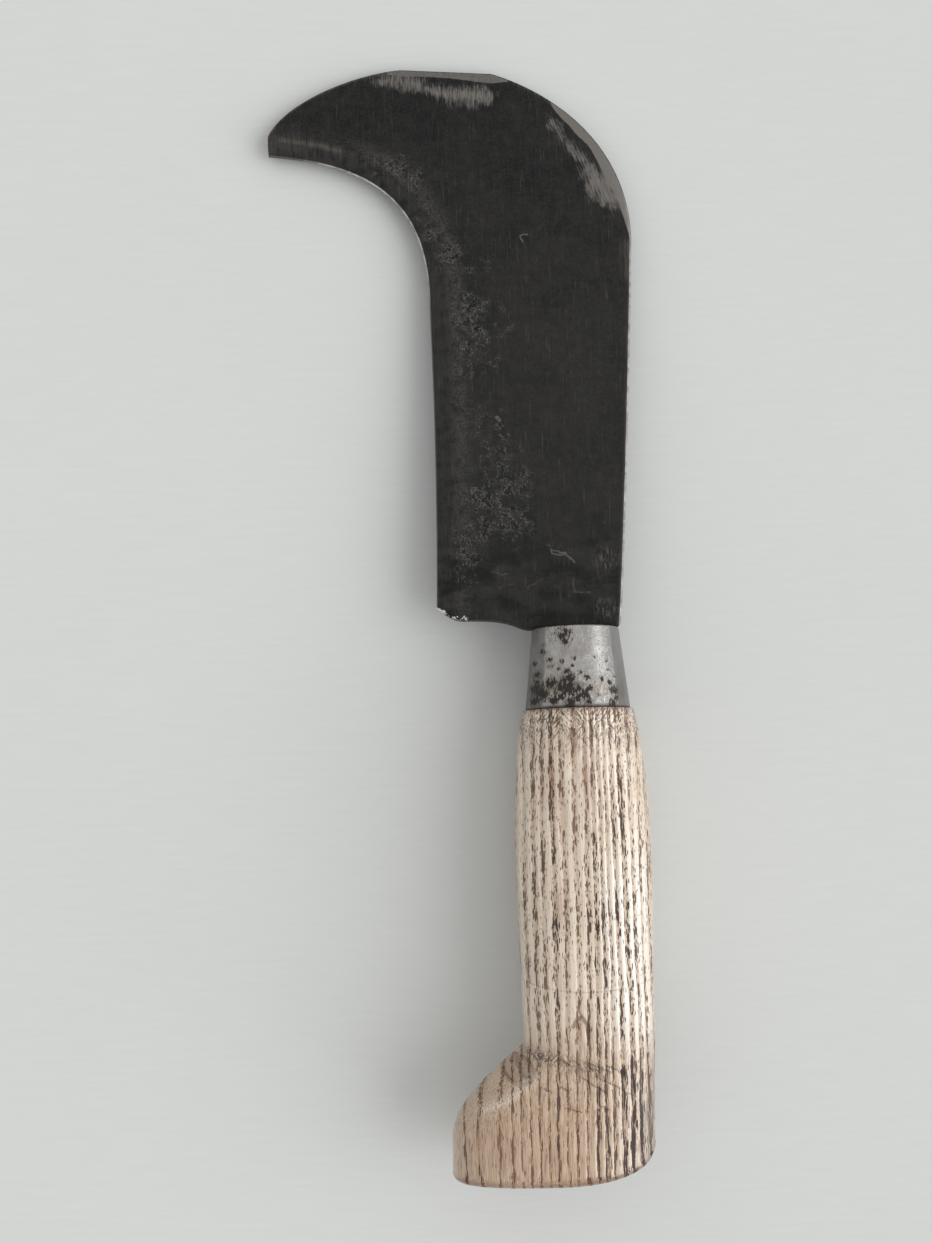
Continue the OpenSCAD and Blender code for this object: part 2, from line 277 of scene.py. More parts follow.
# Each pitted place: X, Y, radius and how deep its pits are
PITTED = (
    (-58, 150, 4, 0.5), (-51, 149, 5, 0.7), (-46, 145, 4, 0.7), (-43.5, 135, 4, 0.5), (-41, 126, 5, 0.6),
    (-36, 119, 5, 0.9), (-30, 117, 4, 0.55), (-25, 116, 3, 0.45), (-30, 102, 6, 0.9), (-22, 103, 4, 0.45),
    (-29, 93, 6, 0.75), (-20, 95, 4, 0.45), (-31, 83, 6, 0.5), (-23, 85, 4, 0.4), (-27, 66, 7, 0.45),
    (-22, 54, 7, 0.7), (-22, 64.2, 2, 0.9), (-20.4, 59, 2, 0.9), (-18, 45, 7, 0.8), (-26, 40, 7, 0.9),
    (-19, 35, 6, 1.0), (-14, 33, 4, 0.8), (-18, 29, 4, 0.7), (-29, 31, 5, 0.9), (-34, 28, 4, 1.0),
    (-33, 22, 5, 1.0), (-33, 16, 4, 0.7), (-6, 26, 4, 0.3),
)
# The ends of each straight piece of the thin scratches and of the deeper gouges
SCRATCHES = (
    ((-0.3, 15.8), (0.0, 11.5)), ((0.0, 11.5), (5.1, 11.0)), ((-25.6, 18.2), (-20.2, 17.2)),
    ((-23.2, 13.4), (-18.6, 14.2)), ((-14.4, 12.8), (-9.6, 15.6)), ((10.2, 33.2), (10.4, 30.9)),
    ((-46.5, 133.3), (-45.0, 131.0)),
)
GOUGE = (
    ((-6.6, 23.3), (-6.6, 24.9)), ((-6.6, 24.9), (-2.4, 23.4)), ((-6.6, 23.3), (-2.4, 23.2)),
    ((-2.4, 23.3), (0.3, 20.7)), ((-13.2, 125.6), (-11.2, 126.0)), ((-13.2, 125.6), (-12.6, 123.4)),
    ((-22.8, 67.0), (-21.2, 66.0)), ((-21.8, 61.2), (-20.8, 60.4)), ((-19.2, 61.6), (-18.6, 60.6)),
)
# Each place that a file has touched: X, Y and radius
FILED = ((10.5, 21.5, 3.4), (9.5, 6.0, 3.2))
# The line of chips on the heel's worn corner, and each speck beside it: X, Y, radius and strength
HEEL_CHIPS = ((-43.0, 7.6), (-40, 5.4), (-36.6, 4.4), (-33.5, 3.6))
HEEL_SPECKS = ((-28.5, 5.4, 0.4, 0.9),)
# The lines along which the nose, the back and the hook's bevel have rusted
NOSE_RUST = ((-93, 157), (-86, 157.5))
BACK_RUST = ((20.6, 122), (20.6, 112))
BEVEL_RUST = ((-89, 159.2), (-77, 157.2), (-70, 155))
# Each flake of plating lost from the upper side: X, Y and radius
FLAKES = (
    (-4.5, -2.5, 2.3), (-3.9, -5.1, 1.2), (-10.9, -7.7, 0.9), (-8.7, -10.2, 0.7), (-5.3, -11.0, 0.7),
    (-1.7, -10.0, 0.7), (-12.5, -14.6, 0.9), (-4.0, -14.1, 0.8), (-2.9, -15.9, 1.2), (4.6, -10.0, 0.5),
    (8.9, -13.8, 0.5), (2.1, -16.2, 0.6), (6.7, -16.5, 0.5), (9.1, -17.6, 0.7), (10.1, -20.0, 1.2),
    (9.6, -23.8, 1.1), (-8.8, -17.4, 1.3), (-3.7, -19.3, 2.1), (-6.1, -18.9, 1.4), (-0.6, -19.4, 1.0),
    (-12.6, -19.1, 1.6), (-11.0, -20.8, 1.3), (-3.5, -23.4, 1.3), (1.1, -21.1, 1.2), (2.7, -19.5, 0.7),
    (-8.0, -22.5, 1.2), (-13.5, -22.5, 1.0), (-8.6, -12.4, 0.5), (-6.4, -13.2, 0.4), (-13.2, -11.0, 0.6),
    (-12.9, -16.8, 0.7), (-5.0, -16.6, 0.7), (-2.2, -12.4, 0.4), (0.2, -14.6, 0.5), (-10.4, -5.6, 0.5),
    (-1.2, -22.6, 0.9), (2.2, -23.2, 0.8), (5.4, -21.6, 0.4), (-5.8, -21.6, 0.9), (8.2, -11.2, 0.4),
    (10.6, -15.8, 0.5), (10.6, -22.2, 0.8),
)
# The ends of each knife cut over the hook, and of each straight piece of the nail's dent
KNIFE_CUTS = (
    ((-3.8, -132.8), (2.8, -136.8)), ((0.4, -132.3), (7.6, -136.0)), ((-9.5, -135.4), (-7.4, -137.1)),
    ((-14.4, -135.7), (-12.7, -136.6)), ((1.4, -140.9), (3.9, -142.0)), ((-8.0, -141.0), (-4.2, -142.8)),
    ((9.2, -137.5), (12.6, -138.9)), ((-2.6, -128.4), (5.0, -131.6)), ((3.4, -129.6), (8.8, -131.9)),
)
NAIL_DENT = (
    ((-5.7, -118.2), (-4.6, -116.1)), ((-4.6, -116.1), (-3.0, -115.5)), ((-3.0, -115.5), (-1.8, -117.4)),
    ((-1.8, -117.4), (-1.1, -121.2)),
)
# The crest over the hook, from the hook's end to the grip
CREST = (
    (-46.0, -147.0), (-35.1, -143.0), (-28.5, -140.4), (-24.5, -138.3), (-21.3, -135.4), (-17.5, -133.4),
    (-13.0, -131.0),
)
# The hollow beside the throat: its middle, its turn as cosine and sine, half its length and width, and the
# ends of each straight piece of its dark grain
SCOOP = (-22.2, -130.9)
SCOOP_TURN, SCOOP_HALF = (0.93, 0.36), (5.4, 4.1)
SCOOP_GRAIN = (
    ((-26.8, -130.0), (-26.0, -132.4)), ((-26.0, -132.4), (-24.1, -134.1)),
    ((-22.3, -126.9), (-21.8, -130.0)), ((-21.8, -130.0), (-20.2, -132.8)),
    ((-20.2, -132.8), (-17.9, -134.1)),
)
# The cut across the grip under which the hook starts
STOP_CUT = ((-19.0, -126.4), (-12.0, -127.6), (-5.0, -129.6), (1.0, -130.6))
# Each stain in the grip: X, Y, half width and half length
STAINS = (
    (-10, -48, 3, 10), (0.5, -46, 2.2, 9), (1.6, -63, 1.0, 2.5), (-2, -36, 3, 4), (-8, -84, 2, 7),
    (-4, -118.5, 1.6, 2.6), (-30, -150, 9, 9), (-12, -152, 4, 8),
)


# Curves, distances and noise

# Factors that scramble the number of a noise cell, one for each axis, and the largest number that comes out
CELL_FACTORS, TOP_CODE = np.array((73856093, 19349663, 83492791)), 0xFFFFF


def mix(a, b, share):
    return a + (b - a) * share


def step_up(value, low, high):
    """A smooth rise from 0 at low to 1 at high."""
    share = np.clip((value - low) / (high - low), 0, 1)
    return share * share * (3 - 2 * share)


def cubic(p0, p1, p2, p3, count=80):
    t = np.linspace(0, 1, count)[:, None]
    return (1 - t) ** 3 * p0 + 3 * (1 - t) ** 2 * t * p1 + 3 * (1 - t) * t**2 * p2 + t**3 * p3


def bow(a, b, leave, arrive):
    """A curve from a to b that runs on straight for the given shares in X and Y at each end."""
    return cubic(a, a + (b - a) * leave, b - (b - a) * arrive, b)


def joined(*paths):
    return np.concatenate([paths[0]] + [path[1:] for path in paths[1:]])


def travel(path):
    """The way along a path up to each of its points, as shares of the whole."""
    steps = np.linalg.norm(np.diff(path, axis=0), axis=1)
    way = np.concatenate([[0], np.cumsum(steps)])
    return way / way[-1]


def along(path, shares):
    way = travel(path)
    return np.stack([np.interp(shares, way, path[:, axis]) for axis in (0, 1)], -1)


def gap_to(points, path):
    """The distance from each point to the nearest place on a path."""
    points, path = np.asarray(points, float), np.asarray(path, float)
    flat = points.reshape(-1, 2)
    start, way = path[:-1], np.diff(path, axis=0)
    square = np.maximum((way**2).sum(1), 1e-12)
    gaps = []
    for part in np.array_split(flat, len(flat) // 2000 + 1):
        offset = part[:, None] - start
        share = np.clip((offset * way).sum(2) / square, 0, 1)
        gaps.append(np.linalg.norm(offset - share[..., None] * way, axis=2).min(1))
    return np.concatenate(gaps).reshape(points.shape[:-1])


def depth_in(points, outline):
    """How far each point lies inside a closed outline, negative outside it."""
    ends = np.array([*outline, outline[0]], float)
    gap = gap_to(points, ends)
    x, y = points[..., 0], points[..., 1]
    within = np.zeros(x.shape, bool)
    for (x0, y0), (x1, y1) in zip(ends[:-1], ends[1:]):
        if y0 != y1:
            within ^= ((y0 > y) != (y1 > y)) & (x < (x1 - x0) * (y - y0) / (y1 - y0) + x0)
    return np.where(within, gap, -gap)


def lattice(places, seed):
    """Smooth noise between 0 and 1 with one bump per unit, the same for the same places and seed."""
    cell = np.floor(places).astype(np.int64)
    part = places - cell
    part = part * part * (3 - 2 * part)
    total = np.zeros(places.shape[:-1])
    for corner in product((0, 1), repeat=places.shape[-1]):
        code = ((cell + corner) * CELL_FACTORS[: len(corner)]).sum(-1) + seed * 6971
        code = ((code ^ (code >> 13)) * 60493 + 19990303) & 0x7FFFFFFF
        code = ((code ^ (code >> 11)) * 15731 + 789221) & TOP_CODE
        total += np.where(corner, part, 1 - part).prod(-1) * code / TOP_CODE
    return total


def rough(places, size, seed, octaves=3):
    """Noise about 0 whose largest bumps have the given size; the size may differ by axis."""
    places = np.asarray(places) / size
    total = sum(lattice(places * 2**o, seed + o) / 2**o for o in range(octaves))
    return total / (2 - 0.5 ** (octaves - 1)) * 2 - 1


def discs(points, places):
    """The strongest of several soft round spots: each has X, Y, radius and perhaps strength."""
    spots = []
    for x, y, radius, *rest in places:
        strength = rest[0] if rest else 1
        spots.append(strength * np.exp(-((points - (x, y)) ** 2).sum(-1) / radius**2))
    return np.max(spots, axis=0)


def fade(gap, width):
    """1 where a gap is nothing, falling softly to about a third where it is as wide as given."""
    return np.exp(-((gap / width) ** 2))


# Meshes

# In the bake coordinates, where the rings of a skin start and how much they take up, and the middles and
# the radius of the discs for its two ends
RINGS_START, RINGS_HEIGHT = 0.02, 0.94
END_PLACES, END_RADIUS = (0.01, 0.985), 0.009


def tube(rings, closed=False, ends=True):
    """Faces and bake coordinates of a skin through rings; closed joins the last ring to the first."""
    rows, columns = rings.shape[:2]
    i, j = np.meshgrid(np.arange(rows if closed else rows - 1), np.arange(columns), indexing="ij")
    corners = [(i, j), (i, j + 1), (i + 1, j + 1), (i + 1, j)]
    faces = np.stack([(a % rows) * columns + b % columns for a, b in corners], -1).reshape(-1, 4)
    across = np.linalg.norm(np.diff(rings, axis=1, append=rings[:, :1]), axis=2).mean(0) + 1e-3
    down = np.linalg.norm(np.diff(rings, axis=0, append=rings[:1]), axis=2).mean(1) + 0.05
    u = np.concatenate([[0], np.cumsum(across)]) / across.sum()
    v = np.concatenate([[0], np.cumsum(down if closed else down[:-1])])
    v = RINGS_START + RINGS_HEIGHT * v / v[-1]
    uv = np.stack([np.stack([u[b], v[a]], -1) for a, b in corners], 2).reshape(-1, 2)
    faces, uv = [tuple(face) for face in faces.tolist()], [tuple(spot) for spot in uv.tolist()]
    if ends and not closed:
        turn = np.arange(columns) * math.tau / columns
        disc = np.stack([np.cos(turn), np.sin(turn)], -1) * END_RADIUS
        orders = (range(columns - 1, -1, -1), range(columns))
        for first, order, place in zip((0, (rows - 1) * columns), orders, END_PLACES):
            faces.append(tuple(first + k for k in order))
            uv += (place + disc[order]).tolist()
    return faces, uv


def circle(radius, y, angles):
    """A ring round the handle's axis."""
    return np.stack([radius * np.cos(angles), np.full(len(angles), float(y)), radius * np.sin(angles)], -1)


def turned(profile, columns):
    """Rings for a profile of radius and Y turned round the handle's axis."""
    angles = np.arange(columns) * math.tau / columns
    return np.stack([circle(radius, y, angles) for radius, y in profile])


def add_piece(name, node, slot, points, faces, uv, finish, fields=None, crease=40):
    """Makes one piece from points in millimetres, and lets it ride on the tool in place of its solid."""
    mesh = bpy.data.meshes.new(name)
    mesh.from_pydata((np.asarray(points).reshape(-1, 3) * MM + MOUTH).tolist(), [], faces)
    for field, values in (fields or {}).items():
        values = np.asarray(values, np.float32).ravel()
        mesh.attributes.new(field, "FLOAT", "POINT").data.foreach_set("value", values)
    mesh.uv_layers.new(name="OFBake").data.foreach_set("uv", np.asarray(uv, np.float32).ravel())
    mesh.shade_smooth()
    mesh.set_sharp_from_angle(angle=math.radians(crease))
    mesh.materials.append(finish)
    if mesh.validate():
        raise RuntimeError(f"{name} has faces that can't be used")
    piece = bpy.data.objects.new(name, mesh)
    bpy.context.scene.collection.objects.link(piece)
    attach(piece, "root")
    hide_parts(node)


# Shaders

# How far apart the noise of two seeds lies
SEED_SHIFT = (17.3, 5.9, 11.7)
# Y over which the grip turns into the hook
HOOK_SPAN = (-112, -134)
# The pencil line round the grip: its Y in the middle and how fast it bends towards the blade beside that
PENCIL_Y, PENCIL_BEND = -108.4, 0.0075
# Where the painted shade on the ferrule's flanks starts at its mouth, and how fast it moves out with its
# taper
SHADED_FLANK, SHADED_FLANK_SLOPE = (9.1, 10.0), 0.0756


class Value:
    """A socket of a shader, on which arithmetic adds Math nodes."""

    def __init__(self, finish, socket):
        self.finish, self.socket = finish, socket

    def math(self, operation, *others):
        return self.finish.node("Math", {"operation": operation}, dict(enumerate((self, *others))))

    def __add__(self, other):
        return self.math("ADD", other)

    def __sub__(self, other):
        return self.math("SUBTRACT", other)

    def __rsub__(self, other):
        return self.finish.node("Math", {"operation": "SUBTRACT"}, {0: other, 1: self})

    def __mul__(self, other):
        return self.math("MULTIPLY", other)

    __radd__, __rmul__ = __add__, __mul__

    def most(self, other):
        return self.math("MAXIMUM", other)

    def least(self, other):
        return self.math("MINIMUM", other)

    def rise(self, low, high):
        """A smooth rise from 0 at low to 1 at high, or a fall if low is the higher."""
        limits = {"Value": self, "From Min": low, "From Max": high}
        return self.finish.node("MapRange", {"interpolation_type": "SMOOTHSTEP"}, limits)


class Finish:
    """The nodes of a material or of the world."""

    def __init__(self, owner):
        owner.use_nodes = True
        self.owner, self.tree = owner, owner.node_tree
        self.tree.nodes.clear()

    def node(self, kind, settings=None, sockets=None, output=0):
        made = self.tree.nodes.new("ShaderNode" + kind)
        for key, value in (settings or {}).items():
            setattr(made, key, value)
        for key, value in (sockets or {}).items():
            if isinstance(value, Value):
                self.tree.links.new(value.socket, made.inputs[key])
            else:
                made.inputs[key].default_value = value
        return Value(self, made.outputs[output] if made.outputs else None)

    def vector(self, operation, *terms, output=0):
        return self.node("VectorMath", {"operation": operation}, dict(enumerate(terms)), output)

    def place(self):
        """Millimetres from the ferrule's mouth."""
        spot = self.node("TexCoord", output="Object")
        return self.vector("MULTIPLY_ADD", spot, (1 / MM,) * 3, tuple(-MOUTH / MM))

    def axes(self, place):
        return [self.node("SeparateXYZ", {}, {0: place}, axis) for axis in range(3)]

    def bumps(self, place, size, seed):
        """Places counted in bumps of the given size along X, Y and Z, elsewhere for each seed."""
        shift = tuple(seed * step for step in SEED_SHIFT)
        return self.vector("MULTIPLY_ADD", place, tuple(1 / s for s in size), shift)

    def cloud(self, place, size, seed=0, detail=3.0, roughness=0.55, output=0):
        """Noise between 0 and 1 whose bumps have the given size along X, Y and Z."""
        spot = self.bumps(place, size, seed)
        limits = {"Vector": spot, "Scale": 1.0, "Detail": detail, "Roughness": roughness}
        return self.node("TexNoise", {}, limits, output)

    def dashes(self, place, size, seed):
        """Distance to the middle of the nearest of many scattered dashes, as a share of their spacing."""
        limits = {"Vector": self.bumps(place, size, seed), "Scale": 1.0}
        return self.node("TexVoronoi", {}, limits, "Distance")

    def stirred(self, place, size, reach, seed):
        """Places moved about at random, so that what is drawn on them looks made by hand."""
        noise = self.cloud(place, (size,) * 3, seed, 2.0, output="Color")
        shift = self.vector("MULTIPLY_ADD", noise, (2 * reach,) * 3, (-reach,) * 3)
        return self.vector("ADD", place, shift)

    def sight(self):
        """1 where the camera looks, straight, by a reflection or through something clear, and 0 elsewhere."""
        kinds = ("Is Camera Ray", "Is Glossy Ray", "Is Transmission Ray")
        camera, glossy, transmission = (self.node("LightPath", output=kind) for kind in kinds)
        return (camera + glossy + transmission).least(1.0)

    def field(self, name):
        return self.node("Attribute", {"attribute_name": name}, output="Fac")

    def line(self, place, start, end):
        """Distance to a straight line between two places on the flat of the tool."""
        start, way = Vector((*start, 0)), Vector((*end, 0)) - Vector((*start, 0))
        offset = self.vector("SUBTRACT", place, tuple(start))
        share = self.vector("DOT_PRODUCT", offset, tuple(way / way.length_squared), output="Value")
        share = share.most(0.0).least(1.0)
        foot = self.node("VectorMath", {"operation": "SCALE"}, {0: tuple(way), "Scale": share})
        return self.vector("DISTANCE", offset, foot, output="Value")

    def lines(self, place, ends):
        """Distance to the nearest of several straight lines."""
        flat = self.vector("MULTIPLY", place, (1, 1, 0))
        nearest, *others = [self.line(flat, *pair) for pair in ends]
        for gap in others:
            nearest = nearest.least(gap)
        return nearest

    def blend(self, share, low, high):
        return self.node("Mix", {"data_type": "RGBA"}, {0: share, 6: low, 7: high}, 2)

    def coats(self, tone, *layers):
        """A colour with others laid over it in order, each given as its share and itself."""
        for share, coat in layers:
            tone = self.blend(share, tone, coat)
        return tone

    def surface(self, height, **sockets):
        """Ends a material: height is its relief in millimetres, and the rest go to the shader by name."""
        sockets["Normal"] = self.node("Bump", {}, {"Strength": 1.0, "Distance": MM, "Height": height})
        named = {key.replace("_", " "): value for key, value in sockets.items()}
        self.node("OutputMaterial", {}, {"Surface": self.node("BsdfPrincipled", {}, named)})
        return self.owner


def wheel_marks(f, place, patchy, grains):
    """Shares of steel that the wheel laid bare on the face and along the crown, and its streaks."""
    x, y, z = f.axes(place)
    # The streaks run down from the crown and lean towards the back on its curve
    across = x + 0.3 * (y - 170) * x.rise(-16, -4)
    streak_place = f.node("CombineXYZ", {}, {"X": across, "Y": y, "Z": z})
    streaks = f.cloud(streak_place, (0.5, 4.2, 3), 5, 4.0, 0.65)
    ground = f.field("grind") + (streaks - 0.5) * 7 + (patchy - 0.5) * 6 - 1.1 * x.rise(-20, -4)
    ground = ground.rise(-1.4, 2.8) * (0.42 + 0.64 * streaks.rise(0.34, 0.66))
    ground = ground * (0.9 + 0.1 * x.rise(-46, -30))
    strip = (f.field("strip") + (patchy - 0.5) * 0.5).rise(-0.15, 0.25)
    strip = strip * f.field("back_gap").rise(0.12, 0.4)
    strip = strip * (0.5 + 0.3 * grains.rise(0.35, 0.6) + 0.4 * x.rise(-14, 4))
    return ground, strip, streaks


def forge_scale(tones):
    """Black forge scale with pits and scratches, laid bare where it was ground or worn."""
    f = Finish(bpy.data.materials.new("forge_scale"))
    place = f.place()
    x, y, z = f.axes(place)
    broad = f.cloud(place, (16, 16, 16), 1)
    patchy = f.cloud(place, (3.2, 3.2, 3.2), 2, 4.0)
    grains = f.cloud(place, (0.7, 0.7, 0.7), 3, 2.0)
    drawn = f.cloud(place, (0.5, 9, 4), 4)
    pocks = f.cloud(place, (2.3, 2.7, 2.3), 6, 3.0, 0.6)
    smears = f.cloud(place, (10, 5, 10), 10, 5.0, 0.6)
    edge, back, pits, chips = (f.field(name) for name in ("edge_gap", "back_gap", "pits", "worn"))

    # Pits are dark holes; their pale edges and the specks between them are painted highlights
    pitted = (pits * 1.1 + (patchy - 0.5) * 2.2).rise(0.25, 0.95) * pits.rise(0.05, 0.3)
    holes = pocks.rise(0.55, 0.6) * pitted
    highlit_rims = pocks.rise(0.49, 0.53) * pocks.rise(0.585, 0.55) * pitted * grains.rise(0.42, 0.58)
    painted_glints = f.cloud(place, (0.55, 0.9, 0.55), 9, 2.0).rise(0.58, 0.66) * pitted

    # Thin lines: scratches, gouges, file marks and the hairs of the drawn steel
    bent = f.stirred(place, 2.6, 1.3, 7)
    gouged = f.lines(bent, GOUGE).rise(0.4, 0.1) * (0.35 + 0.6 * grains)
    scratched = f.lines(bent, SCRATCHES).rise(0.36, 0.1) * 0.3 * patchy.rise(0.36, 0.6)
    scratched = scratched.most(gouged) * z.rise(-0.5, 0.5)
    filed = f.field("filed") * f.cloud(place, (0.36, 2.6, 0.8), 8, 2.0).rise(0.52, 0.62)
    hairs = drawn.rise(0.62, 0.76) * 0.2
    # The pale lines also carry the painted highlights of the pit edges and specks
    lines = (scratched * 0.75).most(hairs).most(highlit_rims * 0.6).most(filed * 0.6).most(painted_glints * 0.5)

    # Bare steel where the wheel was and in the heel's chips, and painted highlights on the edge, the back and
    # its top edge
    ground, strip, streaks = wheel_marks(f, place, patchy, grains)
    # Painted highlight along the hook's sharp edge, over a faint line of bare steel
    on_hook = y.rise(96, 128) * x.rise(-86, -66)
    keen_and_highlit = edge.rise(0.5, 0.2) * (0.1 + on_hook * (0.3 + 0.5 * patchy.rise(0.4, 0.56)))
    # Painted highlight along the back, over its real worn steel
    rubbed_and_highlit = back.rise(1.3, 0.4) * drawn.rise(0.42, 0.62) * (0.12 + 0.23 * back.rise(-0.9, -0.2))
    # Painted highlight line along the back's top edge
    painted_arris_highlight = back.rise(0.75, 0.45) * back.rise(-0.8, -0.2) * y.rise(150, 110)
    painted_arris_highlight = painted_arris_highlight * (0.3 + 0.3 * patchy.rise(0.35, 0.65))
    worn = (chips + (pocks - 0.5) * 2.6 + (grains - 0.5) * 1.4).rise(0.78, 1.0) * chips.rise(0.1, 0.4)
    bright = ground.most(strip).most(keen_and_highlit).most(worn).most(rubbed_and_highlit * 0.55).most(painted_arris_highlight)

    # The scale is greyer on the bevel's crest and browner down the blade, and the heel is smeared
    browned = 0.04 + 0.36 * broad.rise(0.36, 0.64) + 0.18 * y.rise(165, 110)
    speckled = patchy.rise(0.36, 0.66) * 0.16 + (grains - 0.42) * 0.8 + (drawn - 0.42) * 0.4
    crest = edge.rise(4.4, 6.4) * edge.rise(13, 8) * patchy.rise(0.26, 0.54)
    crest = crest * (0.15 + 0.85 * x.rise(-72, -56)) * (0.25 + 0.95 * grains.rise(0.36, 0.62))
    # The bevel is painted lighter in patches, painted light against the shade it turns into; its streaks are
    # the drawn steel
    bevel = edge.rise(7.2, 6.2) * (0.34 * patchy.rise(0.36, 0.58) + 0.7 * (drawn - 0.42))
    rust = (f.field("rust") * drawn.rise(0.3, 0.6)).least(1.0)
    tone = f.coats(
        tones.scale,
        (browned, tones.scale_brown),
        (speckled, tones.pitted),
        (crest, tones.pitted),
        (y.rise(150, 70) * 0.12, tones.pitted),
        (pitted * (0.15 + 0.5 * grains.rise(0.4, 0.62)), tones.pitted),
        (bevel, tones.pitted),
        (y.rise(44, 22) * pocks.rise(0.48, 0.66) * 0.24, tones.pitted),
        (y.rise(40, 16) * smears.rise(0.4, 0.64) * 0.75, tones.scale),
        (holes * 0.8, tones.scale),
        (rust * 0.6, tones.rust),
        (lines, tones.scratch),
        # The back's painted highlight over its worn steel
        (rubbed_and_highlit, tones.scratch),
        (ground.most(strip), tones.ground),
        # Painted highlights of the hook's edge and the back's top edge, and the heel's real chips
        (keen_and_highlit.most(worn).most(painted_arris_highlight), tones.worn),
    )
    relief = patchy * 0.1 + grains * 0.03 - holes * 0.3 + highlit_rims * 0.08 + broad * 0.3 + drawn * 0.03
    relief = relief + streaks * ground * 0.06 - scratched * 0.06 - hairs * 0.05
    gloss = 0.44 + 0.16 * (patchy - 0.5) + 0.1 * (grains - 0.5) - 0.05 * bright
    metal = (bright * 0.9).least(1.0)
    return f.surface(relief, Base_Color=tone, Roughness=gloss, Metallic=metal, Specular_IOR_Level=0.14)


def worn_plating(tones):
    """Dull plating with brown stains, flaked off in ragged patches down to dark steel."""
    f = Finish(bpy.data.materials.new("worn_plating"))
    place = f.place()
    x, y, _ = f.axes(place)
    patches = f.cloud(place, (0.7, 1.5, 0.7), 1, 5.0, 0.75)
    specks = f.cloud(place, (0.35, 0.6, 0.35), 2, 2.0)
    clouds = f.cloud(place, (5, 8, 5), 3)
    drawn = f.cloud(place, (1.3, 26, 1.3), 4)
    lost = f.field("flake") + (patches - 0.5) * 3.6 + (specks - 0.5) * 0.8
    bare = lost.rise(0.5, 0.57)
    near = lost.rise(-0.35, 0.5)
    dirt = (y + (patches - 0.5) * 1.8).rise(-23.7, -24.7)
    # The front beside the back is less stained towards the mouth
    clean = 1 - 0.6 * x.rise(0, 5) * y.rise(-22, -14)
    # The flanks are painted dark, a painted reflection of the darker room and floor
    painted_flank_shade = (x.math("ABSOLUTE") + SHADED_FLANK_SLOPE * y).rise(*SHADED_FLANK)
    dark = bare.most(specks.rise(0.66, 0.74) * 0.3).most(dirt * 0.8).most(painted_flank_shade * 0.52)
    tone = f.coats(
        tones.plating,
        ((clouds.rise(0.42, 0.66) * 0.5 + near * 0.5) * clean, tones.stained),
        ((drawn - 0.4) * 0.6 * clean, tones.stained),
        (dark, tones.bare),
    )
    gloss = 0.19 + 0.1 * clouds + 0.1 * (drawn - 0.5) + dark * 0.3 + near * 0.08
    relief = bare * -0.16 + near * 0.05 + specks * 0.006 + clouds * 0.14 + drawn * 0.05
    return f.surface(relief, Base_Color=tone, Roughness=gloss, Metallic=1 - dark * 0.85)


def ash_grain(f, place):
    """The wood's growth rings, fibres and pores, each as a share."""
    x, y, _ = f.axes(place)
    on_hook = y.rise(*HOOK_SPAN)
    broad = f.cloud(place, (14, 45, 14), 1)
    fibre = f.cloud(place, (0.42, 14, 0.42), 2, 3.0)
    strands = f.cloud(place, (0.2, 7, 0.2), 11, 2.0)
    crowd = f.cloud(place, (2.2, 15, 2.2), 6)

    # Each year starts with open early wood, which fades out sooner on the hook than on the grip
    ring = f.field("ring") + (f.cloud(place, (0.8, 4.5, 0.8), 12) - 0.5) * 0.45
    year = f.node("TexWhiteNoise", {"noise_dimensions": "1D"}, {"W": ring.math("FLOOR")})
    share = ring.math("FRACT")
    on_grip = x.rise(-36, -18) * (0.4 + 0.6 * y.rise(-138, -112).most(x.rise(-6, 8)))
    late = (share - 0.1 - (0.08 + 0.2 * year) * on_grip).rise(0.0, 0.16 + 0.3 * on_grip)
    early = share.rise(0.0, 0.07) * (1 - late)

    # The dirt in the pores grows down the grip and towards its back, and differs from year to year
    amount = 0.52 + 0.006 * x + 0.26 * y.rise(-25, -110) + (broad - 0.5) * 1.1 + (year - 0.5) * 0.5
    amount = (amount - 0.16 * on_hook * x.rise(14, -6)).most(0.1).least(1.0)
    dense = early * (0.13 + 0.13 * amount) + (crowd - 0.5) * (0.25 + 0.6 * early) + 0.1
    dense = dense + on_hook * (0.18 * early - 0.03) + 0.08 * x.rise(-4, 12) * y.rise(-122, -138)

    # The pores are dashes along the grain, longer and thinner on the hook
    wavy = f.stirred(place, 1.7, 0.25, 9)
    long_pores = f.dashes(wavy, (0.66, 3.8, 0.66), 3) * (1 - on_hook)
    long_pores = long_pores + f.dashes(wavy, (0.52, 6.5, 0.52), 13) * on_hook
    short_pores = (dense - f.dashes(wavy, (0.46, 1.7, 0.46), 4)).rise(-0.08, 0.02)
    pores = (dense - long_pores).rise(-0.13, -0.03).most(short_pores * (0.85 - 0.45 * on_hook))
    return SimpleNamespace(
        broad=broad, fibre=fibre, strands=strands, crowd=crowd, early=early, amount=amount, pores=pores
    )


def ash_nicks(f, place):
    """The small slanting nicks round the shoulder and along the stop cut."""
    x, y, z = f.axes(place)
    lean = (f.cloud(place, (6, 6, 6), 10) - 0.5).math("SIGN") * 0.7
    leaning = f.node("CombineXYZ", {}, {"X": x + lean * y, "Y": y, "Z": z})
    chips = f.cloud(leaning, (0.5, 2.4, 0.5), 5, 2.0, 0.6)
    chopped = f.field("chopped")
    return (chips + 0.05 * chopped).rise(0.53, 0.58) * y.rise(-42, -29).most(chopped)


